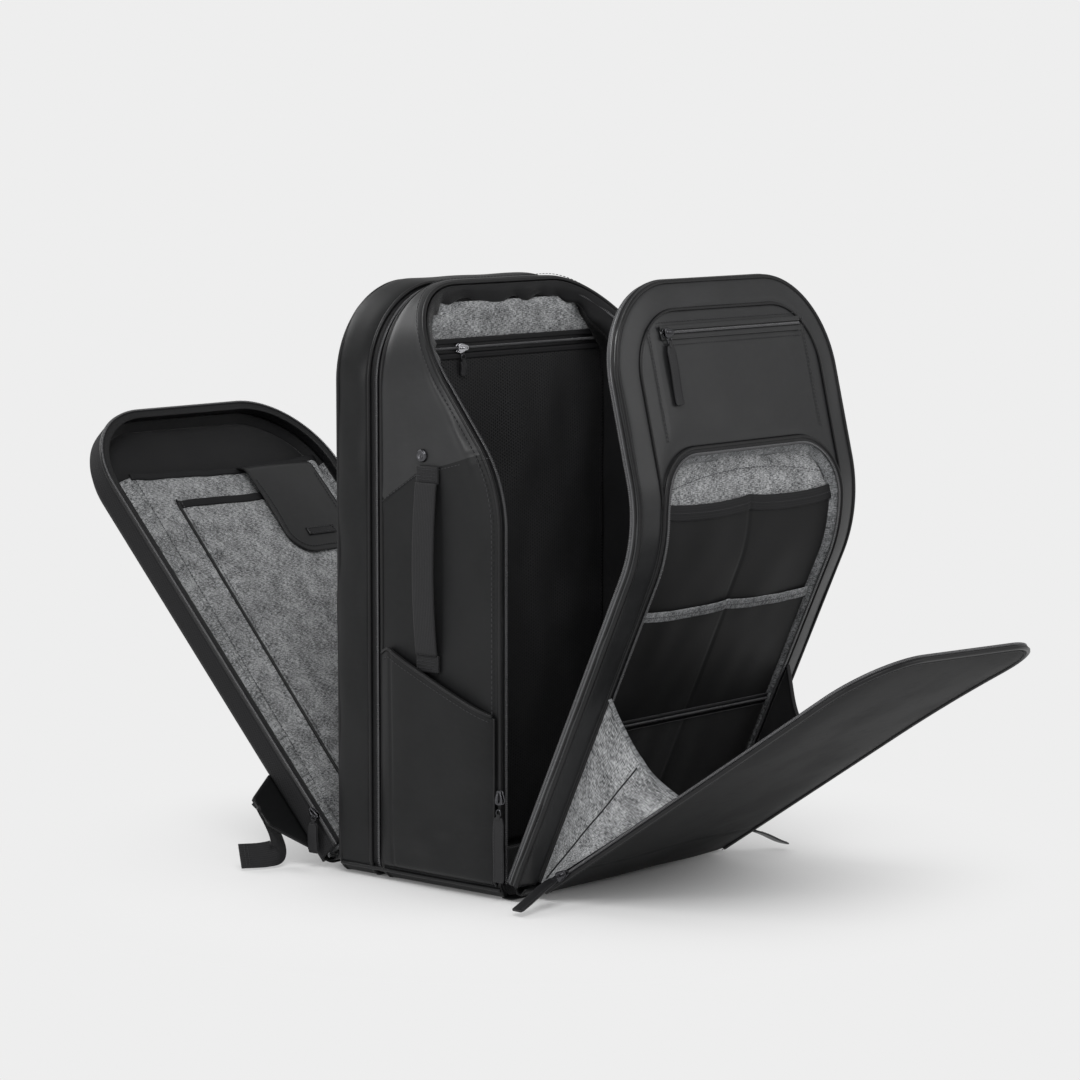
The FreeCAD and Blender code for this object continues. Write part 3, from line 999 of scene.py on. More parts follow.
def coil(name: str, path: Array, up: Array, seat: Seat, closed: bool = False,
         shift: float = 0.0) -> list[bpy.types.Object]:
    """One side of an open zip: a low cord and the turns of the coil over it.

    Args:
        name: piece's name.
        path: the coil's line.
        up: the way its face looks.
        seat: the turns that carry it to rest.
        closed: the line is a loop.
        shift: move of the turns across the line.

    Returns:
        The cord and the turns.
    """
    shape, quads = bead(1.15, 3.0, 1.0)
    core = sweep(name + "Cord", path, up, flat_section(2.4, 1.2, 8, 0.6), COIL, seat, closed)
    turns = scatter(name + "Turns", path + np.asarray(up) * 0.4, up, 1.75, shape, quads, COIL, seat,
                    shift)
    return [core, turns]


def offset(path: Array, up: Array, across: float, rise: float = 0.0) -> Array:
    """A line moved sideways, at right angles to its direction and up, and then along up."""
    side = unit(np.cross(tangents(path), np.broadcast_to(up, path.shape)))
    return path + side * across + np.broadcast_to(up, path.shape) * rise


def band(name: str, path: Array, up: Array, width: float, thick: float, finish: Finish,
         seat: Seat, cols: int = 5, closed: bool = False) -> bpy.types.Object:
    """A flat tape centred on a line, facing up."""
    u = np.linspace(-width / 2, width / 2, cols)
    side = unit(np.cross(tangents(path, closed), np.broadcast_to(up, path.shape)))
    p = path[:, None] + side[:, None] * u[None, :, None]
    return sheet(name, p, thick, finish, seat, closed, out=np.broadcast_to(
        np.asarray(up, float), path.shape)[:, None])


def front_point(x: Array, r: Array, m: Array) -> Array:
    """Place on the flat organiser flap: r up from its hinge and m out from its inner face."""
    x, r, m = np.broadcast_arrays(np.asarray(x, float), r, m)
    return np.stack([x, -119.6 - m, 18.0 + r], -1)


def rear_point(x: Array, z: Array, n: Array) -> Array:
    """Place on the rear lid at height z, and n behind the pack's rear edge."""
    x, z, n = np.broadcast_arrays(np.asarray(x, float), z, n)
    return np.stack([x, 100.6 + n, z], -1)


# Height of the side walls' cross seam in the middle of their depth.
WAIST = 376.0


def seam_height(y: Array) -> Array:
    """Height of the side walls' cross seam at depth y: it falls from front to rear."""
    return WAIST + np.interp(y, [-110, -74, -1, 33, 45], [26, 18, 0, -21, -30])


# -------------------------------------------------------------------- pack --
@dataclass
class PackBody:
    """The upright shell: side, top and base walls, the expansion zip and the rear frame.

    Args:
        half: half width.
        height: height over all.
        r_base: radius of the lower corners.
        r_top: radius of the upper corners.
        middle: depth of the seam in front of the expansion zip.
        rear: depth of the rear edge.
    """

    half: float = 156.0
    height: float = 540.0
    r_base: float = 18.0
    r_top: float = 88.0
    middle: float = 43.0
    rear: float = 98.0
    body: str = "pack_body"

    def loop(self, inset: float = 0.0, count: int = RIM_SAMPLES) -> Loop:
        """Outline of the shell, moved in by an inset."""
        return outline(self.half - inset, inset, self.height - inset, self.r_base - inset,
                       self.r_top - inset, count)

    def line(self, inset: float, y: float) -> Array:
        """Closed line round the shell at one depth."""
        loop = self.loop(inset)
        return np.stack([loop.x, np.full_like(loop.x, y), loop.z], -1)

    def outward(self) -> Array:
        """Outward directions of the shell's closed line."""
        loop = self.loop()
        return np.stack([loop.nx, loop.nx * 0.0, loop.nz], -1)

    def build(self) -> None:
        """Make every piece of the shell."""
        self.front_walls()
        self.rear_walls()
        self.expansion()
        self.opening()
        self.lining()
        self.base_trim()

    def front_walls(self) -> None:
        """Side, top and base walls in front of the expansion zip, as one cut of cloth.

        Rows near the waist are moved to lie along the slanted seam, so the two cloths
        meet on a row. The face is crowned, creased and dipped along the seams.
        """
        loop = self.loop()
        t = np.linspace(0.0, 1.0, 48)[None, :]
        z = np.broadcast_to(loop.z[:, None], (len(loop.z), 48))
        side = np.clip(np.abs(loop.nx[:, None]) * 1.6 - 0.6, 0.0, 1.0)
        y = (PROFILE.depth(np.maximum(z, 10.0)) + 2.4) * (1 - t) + self.middle * t
        slant = np.interp(y, [-110, -74, -1, 33, 45], [26, 18, 0, -21, -30])
        z = z + slant * side * np.exp(-((z - WAIST) / 62.0) ** 2)
        y = (PROFILE.depth(np.maximum(z, 10.0)) + 2.4) * (1 - t) + self.middle * t
        flat = np.stack([np.broadcast_to(loop.x[:, None], y.shape), y, z], -1)
        waist = np.abs(loop.z[:, None] - WAIST)
        up = np.clip((z - 14.0) / 40.0, 0.0, 1.0)
        rise = 2.0 * crown(t, 5.0) * up + 0.9 * ripple(flat, 90.0, 3) * up * crown(t, 8.0)
        rise = rise + side * groove(waist, 2.0, 1.5) + side * 0.8 * np.exp(-(waist / 9.0) ** 2)
        rise = rise + side * 1.4 * ripple(flat * np.array([1, 1, 2.2]), 70.0, 9) * np.exp(
            -((z - 60.0) / 45.0) ** 2) * crown(t)
        hem = np.exp(-((t - 0.13) / 0.07) ** 2) * np.exp(-((z - 415.0) / 80.0) ** 2)
        rise = rise + side * hem * (1.3 + 1.0 * ripple(flat, 38.0, 15))
        p = flat + self.outward()[:, None] * rise[..., None]
        p[..., 2] = np.maximum(p[..., 2], 0.4)
        walls = sheet("SideAndTopWalls", p, 2.4, SHELL, Seat.BODY, True, self.outward()[:, None])
        centre = face_centres(walls)
        line = seam_height(centre[:, 1])
        paint(walls, SATIN, centre[:, 2] > line)
        attach(walls, self.body, "side_panel_left", "side_panel_right", "top_panel", "base_panel")
        for sign, word in SIDES:
            ys = np.linspace(-88.0, 40.0, 60)
            zs = seam_height(ys)
            path = np.stack([np.full(60, sign * 158.9), ys, zs - 3.2], -1)
            seam = stitches("WaistStitches" + word, path, np.array([sign, 0, 0]), Seat.BODY, STITCH)
            attach(seam, self.body)
        for y in (self.middle, 58.6, self.rear - 1.6):
            path = self.line(0.6, y)
            path[:, 2] = np.maximum(path[:, 2], 2.2)
            attach(piping("ShellPiping%02d" % y, path, self.outward(), Seat.BODY, PIPING,
                          closed=True), self.body)

    def rear_walls(self) -> None:
        """The rear frame's band of cloth, lightly crowned between its two piped edges."""
        loop = self.loop()
        t = np.linspace(0.0, 1.0, 14)[None, :]
        y = 58.6 + (self.rear - 58.6) * t + 0.0 * loop.x[:, None]
        flat = np.stack([loop.x[:, None] + 0 * y, y, loop.z[:, None] + 0 * y], -1)
        up = np.clip((loop.z[:, None] - 14.0) / 40.0, 0.0, 1.0)
        rise = 2.4 * crown(t, 3.0) * up + 1.2 * ripple(flat, 70.0, 5) * up
        p = flat + self.outward()[:, None] * rise[..., None]
        p[..., 2] = np.maximum(p[..., 2], 0.4)
        attach(sheet("RearFrameWalls", p, 2.4, SHELL, Seat.BODY, True, self.outward()[:, None]),
               self.body, "rear_frame")

    def expansion(self) -> None:
        """The recessed expansion band: its tape, and the closed zip with both rows of turns."""
        y = np.linspace(self.middle, 58.6, 9)
        dip = 1.5 + 3.0 * crown(np.linspace(0, 1, 9), 4.0)
        loop = self.loop()
        p = np.stack([loop.x[:, None] - loop.nx[:, None] * dip, y[None] + 0 * loop.x[:, None],
                      loop.z[:, None] - loop.nz[:, None] * dip], -1)
        attach(sheet("ExpansionBand", p, 1.2, TAPE, Seat.BODY, True, self.outward()[:, None]),
               self.body, "expansion_gusset")
        start = int(len(loop.x) * 0.52)
        path = np.roll(self.line(3.4, 51.5), -start, 0)
        up = np.roll(self.outward(), -start, 0)
        for piece in coil("ExpansionZip", path, up, Seat.BODY):
            attach(piece, self.body, "expansion_zip")

    def opening(self) -> None:
        """The opening's piped rim, its tape, coil and the stitches behind it."""
        loop = outline(self.half, 0.0, self.height, self.r_base, self.r_top, RIM_SAMPLES, foot=14.0)
        out = loop.out

        def line(inset: float, back: float) -> Array:
            """Line round the opening at an inset, and behind the wall's edge."""
            x, z = loop.x - loop.nx * inset, loop.z - loop.nz * inset
            return np.stack([x, PROFILE.depth(loop.z) + back, z], -1)
        attach(piping("OpeningPiping", line(0.8, 2.8), out, Seat.BODY, PIPING, 2.0), self.body)
        p = loft(line(1.6, 3.2), line(9.0, 3.8), 5)
        attach(sheet("OpeningTape", p, 1.0, TAPE, Seat.BODY, out=FRONT), self.body,
               "main_zip_tape")
        for piece in coil("OpeningCoil", line(9.2, 2.9), np.broadcast_to(FRONT, out.shape), Seat.BODY):
            attach(piece, self.body)
        attach(stitches("OpeningStitches", line(-2.9, 9.0), out, Seat.BODY, STITCH, 4.6), self.body)

    def lining(self) -> None:
        """Black lining of the walls, gathered a little near the top of the opening."""
        loop = self.loop(3.4)
        out = loop.out
        t = np.linspace(0.0, 1.0, 40)[None, :]
        front = PROFILE.depth(np.maximum(loop.z, 10.0))[:, None] + 2.0
        y = front * (1 - t) + 97.0 * t
        p = np.stack([loop.x[:, None] + 0 * y, y, loop.z[:, None] + 0 * y], -1)
        top = np.clip((p[..., 2] - 440.0) / 60.0, 0.0, 1.0)
        sag = 2.0 + 1.8 * (ripple(p, 60.0, 11) + 1.0)
        front = np.exp(-((y - 0.0) / 60.0) ** 2)
        sag = sag + top * front * (17.0 + 7.0 * ripple(p * np.array([1.6, 2.0, 1.0]), 46.0, 21))
        fade = np.clip(t / 0.06, 0.0, 1.0) * np.clip((p[..., 2] - 6.0) / 30.0, 0.0, 1.0)
        p = p - out[:, None] * (sag * fade)[..., None]
        attach(sheet("WallLining", p, 0.8, LINING, Seat.BODY, True, -out[:, None]), self.body)

    def base_trim(self) -> None:
        """Piped lower edges of both sides."""
        for sign, word in SIDES:
            ys = np.linspace(-97.0, 96.0, 90)
            path = np.stack([np.full(90, sign * 154.6), ys, np.full(90, 9.5)], -1)
            attach(piping("BasePiping" + word, path, np.array([sign, 0, 0.6]), Seat.BODY, PIPING),
                   self.body)


@dataclass
class Divider:
    """The wall between the main space and the laptop bay, with its zipped mesh pocket.

    Args:
        half: half width at the front.
        zip_z: height of the pocket's zip.
    """

    half: float = 151.0
    zip_z: float = 480.0
    body: str = "pack_body"

    def build(self) -> None:
        """Make the wall, the head strip, the mesh and the zip's tape."""
        x, z = fill(self.half, 6.0, 535.0, 14.0, 84.0, 60, 44)
        y = 38.4 - 0.6 * ripple(np.stack([x, 0 * x, z], -1), 90.0, 4)
        attach(sheet("DividerWall", np.stack([x, y, z], -1), 2.0, LINING, out=FRONT), self.body,
               "divider_panel")
        x, z = fill(self.half - 3, 8.0, 533.0, 14.0, 82.0, 90, 60)
        puff = 2.2 * np.abs(np.sin(x / 34.0)) ** 0.5 * crown((z - 8.0) / 525.0, 8.0)
        attach(sheet("DividerPaddedFace", np.stack([x, 41.5 + puff, z], -1), 1.6, PADDED, out=REAR),
               self.body)
        t = np.linspace(0.0, 1.0, 22)[:, None]
        u = np.linspace(-1.0, 1.0, 90)[None, :]
        z = self.zip_z + 6.0 + 36.0 * t + 0.0 * u
        x = u * half_at(z, self.half - 1, 6.0, 535.0, 14.0, 84.0)
        puff = 2.4 * crown(t, 3.0) + 1.6 * ripple(np.stack([x, 0 * x, z], -1), 36.0, 8) * crown(t, 4.0)
        attach(sheet("DividerHeadStrip", np.stack([x, 36.0 - puff, z], -1), 1.2, HEATHER, out=FRONT),
               self.body)
        for low, name in ((self.zip_z + 6.5, "DividerHeadPiping"), (self.zip_z - 7.5, "DividerMeshHem")):
            xs = np.linspace(-146.0, 146.0, 120)
            path = np.stack([xs, np.full(120, 34.2), np.full(120, low)], -1)
            strip = sweep(name, path, FRONT, flat_section(5.0, 1.6, 10), BLACK_BINDING)
            attach(strip, self.body)
        xs = np.linspace(-145.0, 145.0, 160)
        path = np.stack([xs, np.full(160, 34.8), np.full(160, self.zip_z)], -1)
        attach(band("DividerZipTape", path, FRONT, 12.0, 0.8, TAPE, Seat.BODY), self.body,
               "divider_zip")
        for piece in coil("DividerZip", path + FRONT * 0.4, FRONT, Seat.BODY):
            attach(piece, self.body)
        t = np.linspace(0.0, 1.0, 110)[:, None]
        u = np.linspace(-1.0, 1.0, 90)[None, :]
        z = 12.0 + (self.zip_z - 20.0) * t + 0.0 * u
        x = u * (half_at(z, self.half - 4, 6.0, 535.0, 14.0, 84.0))
        flat = np.stack([x, 0 * x, z], -1)
        sag = 4.0 * crown(t, 3.0) * crown((u + 1) / 2, 4.0)
        sag = sag + 1.6 * ripple(flat * np.array([1.8, 1, 0.7]), 60.0, 31) * crown(t, 6.0) * crown(
            (u + 1) / 2, 6.0)
        mesh = sheet("DividerMesh", np.stack([x, 34.6 - sag, z], -1), 0.5, KNIT, out=FRONT)
        attach(mesh, self.body, "divider_mesh_pocket")


@dataclass
class BottlePocket:
    """A stretch pocket low on one side, with a slanted, bound mouth.

    Args:
        side: -1 for the left, 1 for the right.
        low: height of the pocket's foot.
    """

    side: float
    low: float = 13.0
    body: str = "pack_body"

    def build(self) -> None:
        """Make the outer cloth, its lining and the binding of the mouth."""
        word = "Left" if self.side < 0 else "Right"
        y = np.linspace(-94.0, 41.5, 70)[None, :]
        v = (y + 94.0) / 135.5
        mouth = 164.0 + 50.0 * np.clip(v / 0.9, 0, 1) ** 1.05 - 7.0 * np.clip((v - 0.9) / 0.1, 0, 1) ** 2
        t = np.linspace(0.0, 1.0, 90)[:, None]
        z = self.low + (mouth - self.low) * t
        flat = np.stack([0 * z, y + 0 * z, z], -1)
        body = 2.0 + 5.6 * crown(v, 6.0) * np.clip(t / 0.12, 0, 1) ** 0.5
        gape = 2.4 * crown(v, 2.5) * t ** 3
        wrinkle = 2.6 * ripple(flat * np.array([1, 0.8, 2.2]), 56.0, 17 if self.side < 0 else 19)
        wrinkle = wrinkle * np.exp(-((z - 44.0) / 24.0) ** 2) * crown(v, 4.0)
        soft = 0.6 * ripple(flat, 110.0, 23) * crown(v, 4.0) * crown(t, 8.0)
        seam = groove(np.abs(y - 26.0), 1.4, 0.8)
        curve = 156.0 - 5.0 * np.clip((20.0 - z) / 8.0, 0, 1) ** 2
        x = self.side * (curve + 1.2 + body + gape + wrinkle + soft + seam)
        p = np.stack([x, y + 0 * z, z], -1)
        out = np.array([self.side, 0, 0])
        attach(sheet("BottlePocket" + word, p, 1.4, SHELL, out=out), self.body,
               "bottle_pocket_" + word.lower())
        attach(sheet("BottlePocketLining" + word, p[:, 1:-1] - out * 1.5, 0.6, LINING, out=-out),
               self.body)
        edge = p[-1, 1:-1] - out * 0.9 + UP * 0.6
        attach(sweep("BottlePocketMouth" + word, edge, out, flat_section(3.0, 4.2, 10, 0.6), PIPING),
               self.body)
        row = p[-4] + out * 0.15
        attach(stitches("BottlePocketStitches" + word, row[2:-2], out, Seat.BODY, STITCH), self.body)
        front = p[:, 0] + out * 0.4
        attach(piping("BottlePocketFrontEdge" + word, front, out, Seat.BODY, PIPING, 1.3), self.body)


@dataclass
class SideHandle:
    """Webbing grab handle on the left side, its two anchors and the press stud.

    Args:
        low: height of the lower end.
        high: height of the upper end.
        depth: its place front to rear.
        bow: how far it stands out.
    """

    low: float = 213.5
    high: float = 367.5
    depth: float = -17.0
    bow: float = 5.0

    def build(self) -> None:
        """Make the webbing, anchors, bar tacks and the stud."""
        t = np.linspace(0.0, 1.0, 90)
        z = self.high + (self.low - self.high) * t
        lift = self.bow * np.sin(math.pi * t) ** 0.8
        path = np.stack([-162.6 - lift, np.full(90, self.depth), z], -1)
        strap = sweep("SideHandle", path, LEFT, flat_section(25.0, 2.4, 28), WEBBING)
        attach(strap, "side_handle", "side_handle")
        for z0, z1, word in ((368.0, 382.0, "Upper"), (199.0, 213.0, "Lower")):
            p = np.stack([np.full(12, -160.8), np.full(12, self.depth),
                          np.linspace(z0 - 1.0, z1, 12)], -1)
            attach(sweep("HandleAnchor" + word, p, LEFT, flat_section(26.0, 3.0, 24), WEBBING),
                   "pack_body", "handle_anchors")
            for k in range(4):
                zz = z0 + 2.5 + 3.0 * k
                line = np.stack([np.full(20, -162.5), np.linspace(-28.0, -6.0, 20),
                                 np.full(20, zz)], -1)
                attach(stitches("BarTack%s%d" % (word, k), line, LEFT, Seat.BODY, STITCH, 1.6),
                       "pack_body")
        self.stud()

    def stud(self) -> None:
        """The round press stud above the handle: a turned cap with a dimple."""
        prof = np.array([[0.0, 2.9], [2.2, 2.9], [3.0, 3.5], [4.6, 3.5], [5.7, 2.6], [6.0, 1.2],
                         [6.0, -0.5]])
        a = np.linspace(0, 2 * math.pi, 40, endpoint=False)[:, None]
        p = np.stack([-157.6 - prof[None, :, 1] + 0 * a, -9.0 + prof[None, :, 0] * np.cos(a),
                      391.0 + prof[None, :, 0] * np.sin(a)], -1)
        cap = sheet("SnapStud", p, 0.5, GUNMETAL, wrap_rows=True, out=LEFT)
        attach(cap, "pack_body", "snap_stud")


# --------------------------------------------------------------- front lid --


def face_of(path_x: Array, path_s: Array) -> Array:
    """Outward direction of the front lid's face at side place x and arc length s."""
    return PROFILE.at(path_x, path_s, 1.0) - PROFILE.at(path_x, path_s, 0.0)


@dataclass
class FrontLid:
    """The clamshell front: piped rim, shaped border, linings and the upper pocket.

    Args:
        half: half width.
        top: arc length of its top edge.
        r_top: radius of its upper corners.
        border: width of the shaped border.
        depth: how far the pocket's seam stands out.
        wall: height of the lid's side wall.
    """

    half: float = 156.0
    top: float = 572.3
    r_top: float = 88.0
    border: float = 27.0
    depth: float = 15.0
    wall: float = 11.0
    body: str = "front_lid"

    def rim(self, inset: float, count: int = 460) -> tuple[Array, Array, Array]:
        """Side places, arc lengths and outward directions of the rim moved in by an inset."""
        loop = outline(self.half, 0.0, self.top, 18.0, self.r_top, count, foot=10.0)
        x, s = loop.x - loop.nx * inset, loop.z - loop.nz * inset
        out = unit(PROFILE.at(x + loop.nx, s + loop.nz, 0.0) - PROFILE.at(x, s, 0.0))
        return x, s, out

    def edge(self, inset: float, n: float) -> Array:
        """Line round the rim at an inset and offset."""
        x, s, _ = self.rim(inset)
        return PROFILE.at(x, s, n)

    def build(self) -> None:
        """Make every piece of the lid but the organiser."""
        self.border_ring()
        self.edges()
        self.inner_lining()
        self.upper_pocket()
        self.hinge_cloth()

    def border_ring(self) -> None:
        """The border: nearly flat from its piped edge to the pocket's seam, a little creased."""
        q = np.linspace(0.0, 1.0, 16)[None, :]
        loop = outline(self.half, 0.0, self.top, 18.0, self.r_top, 460, foot=10.0)
        inset = 2.2 + (self.border - 2.2) * q
        xs = loop.x[:, None] - loop.nx[:, None] * inset
        ss = loop.z[:, None] - loop.nz[:, None] * inset
        flat = np.stack([xs, 0 * xs, ss], -1)
        n = self.wall + (self.depth - self.wall) * q ** 0.7 + 0.9 * crown(q)
        n = n + 0.8 * ripple(flat, 80.0, 41) * crown(q)
        attach(sheet("LidBorder", PROFILE.at(xs, ss, n), 1.8, SATIN, Seat.LID, out=FRONT),
               self.body, "lid_panel")

    def edges(self) -> None:
        """The lid's coated side wall between two piped edges, and its half of the zip."""
        _, _, out = self.rim(0.0)
        attach(piping("LidPiping", self.edge(2.0, self.wall + 0.4), out, Seat.LID, PIPING, 2.0),
               self.body)
        inset = 1.6 - 1.8 * crown(np.linspace(0.0, 1.0, 8), 2.4)
        rows = [self.edge(i, n) for i, n in zip(inset, np.linspace(2.6, self.wall, 8))]
        wall = np.stack(rows, 1)
        soft = 0.7 * ripple(wall, 46.0, 43) * crown(np.linspace(0, 1, 8)[None])
        attach(sheet("LidSideWall", wall + out[:, None] * soft[..., None], 0.9, COATED_TAPE,
                     Seat.LID, out=out[:, None]), self.body, "lid_zip_tape")
        attach(piping("LidRimCord", self.edge(0.2, 7.4), out, Seat.LID, PIPING, 1.3), self.body)
        # The lid's zip tape: glossy, with a painted highlight in its lighter base colour.
        t = np.linspace(0.0, 1.0, 7)
        rows = [self.edge(i, n) for i, n in zip(0.4 - 1.3 * crown(t, 2.0), 3.6 + 3.4 * t)]
        attach(sheet("LidZipTape", np.stack(rows, 1), 0.6, GLOSSY_TAPE_PAINTED_HIGHLIGHT, Seat.LID,
                     out=out[:, None]), self.body)
        p = loft(self.edge(0.8, 1.2), self.edge(12.0, 1.4), 6)
        attach(sheet("LidFacing", p, 0.8, TAPE, Seat.LID, out=REAR), self.body)
        for piece in coil("LidCoil", self.edge(0.9, 2.3), out, Seat.LID):
            attach(piece, self.body)

    def inner_lining(self) -> None:
        """Mixed-yarn lining of the lid's inner face, sagging a little between its seams."""
        x, s = fill(self.half - 9.0, 6.0, self.top - 9.0, 16.0, self.r_top - 9.0, 90, 50)
        flat = np.stack([x, 0 * x, s], -1)
        n = 2.2 - 0.7 * ripple(flat, 80.0, 51)
        attach(sheet("LidInnerLining", PROFILE.at(x, s, n), 1.0, HEATHER, Seat.LID, out=REAR),
               self.body)

    def upper_pocket(self) -> None:
        """The upper pocket's face, its zip set in a welt, and the seams round it."""
        inner = self.half - self.border
        u = np.linspace(-1.0, 1.0, 100)
        x = u * inner
        r_in = self.r_top - self.border
        high = self.top - self.border - r_in + np.sqrt(
            np.maximum(r_in ** 2 - np.maximum(np.abs(x) - inner + r_in, 0.0) ** 2, 0.0))
        low = 424.0 - 55.0 + np.sqrt(55.0 ** 2 - np.maximum(np.abs(x) - 75.0, 0.0) ** 2 * 0.999)
        t = np.linspace(0.0, 1.0, 56)[:, None]
        s = low[None] * (1 - t) + high[None] * t
        xs = x[None] + 0 * s
        flat = np.stack([xs, 0 * xs, s], -1)
        v = (u[None] + 1) / 2
        n = self.depth - 0.3 + 3.4 * crown(v, 6.0) * crown(t, 5.0) + 0.35 * ripple(flat, 90.0, 61)
        for line in (520.0, 530.0):
            n = n + 0.7 * groove(np.abs(s - line), 1.2, 1.0) * (np.abs(xs) < 108)
        n = n + 0.9 * groove(np.abs(np.abs(xs) - 108.0), 1.3, 1.0) * np.clip((s - 430) / 20, 0, 1)
        panel = sheet("UpperPocketFace", PROFILE.at(xs, s, n), 1.8, SATIN, Seat.LID, out=FRONT)
        attach(panel, self.body, "lid_top_pocket")
        xz = np.linspace(-96.0, 104.0, 150)
        face = face_of(xz, 525.0 + 0 * xz)
        rise = self.depth + 3.0
        zip_line = PROFILE.at(xz, 525.0 + 0 * xz, rise)
        attach(band("UpperPocketTape", zip_line, face, 8.0, 0.7, TAPE, Seat.LID), self.body,
               "top_pocket_zip")
        for piece in coil("UpperPocketZip", zip_line + face * 0.2, face, Seat.LID):
            attach(piece, self.body)
        for gap, word in ((4.2, "Upper"), (-4.2, "Lower")):
            lip = PROFILE.at(xz, 525.0 + gap + 0 * xz, rise + 0.5)
            attach(sweep("UpperPocketWelt" + word, lip, face, flat_section(4.4, 1.5, 10, 0.6), SATIN,
                         Seat.LID), self.body)
        for line in (514.0, 534.5):
            row = PROFILE.at(xz, line + 0 * xz, rise + 0.3)
            attach(stitches("UpperPocketStitches%d" % line, row, face, Seat.LID, STITCH, 3.6),
                   self.body)
        for sign, word in SIDES:
            ss = np.linspace(430.0, 532.0, 80)
            xx = sign * (110.0 + 0 * ss)
            row = PROFILE.at(xx, ss, self.depth + 2.6)
            attach(stitches("PocketSideStitches" + word, row, face_of(xx, ss), Seat.LID, STITCH, 3.6),
                   self.body)
        x, s, _ = self.rim(self.border + 0.5)
        keep = s > 372.0
        x, s = x[keep], s[keep]
        seam = PROFILE.at(x, s, self.depth + 0.6)
        attach(piping("PocketSeamPiping", seam, face_of(x, s), Seat.LID, PIPING, 1.3), self.body)

    def hinge_cloth(self) -> None:
        """Base cloth from the pack's front edge to the lid, and the cloth round the lid's foot."""
        x = np.linspace(-150.0, 150.0, 90)
        spots = [(-95.0, 1.6), (-99.0, 1.3), (-102.5, 1.2), (-106.0, 1.4), (-110.0, 2.2), (-114.5, 3.6)]
        p = np.stack([np.stack([x, np.full(90, y), np.full(90, z)], -1) for y, z in spots], 1)
        bend(sheet("FrontHingeCloth", p, 1.0, SHELL, out=-UP), "pack_body", self.body,
             (0.0, -98.0, 2.0), (0.0, -108.0, 2.0))
        lid = [PROFILE.at(x * 0.99, s, n) for s, n in ((16.0, 4.0), (5.0, 6.0), (1.0, 11.0),
                                                       (2.0, 16.0), (10.0, 18.6))]
        attach(sheet("LidFoot", np.stack(lid, 1), 1.6, SHELL, Seat.LID, out=FRONT - UP), self.body)


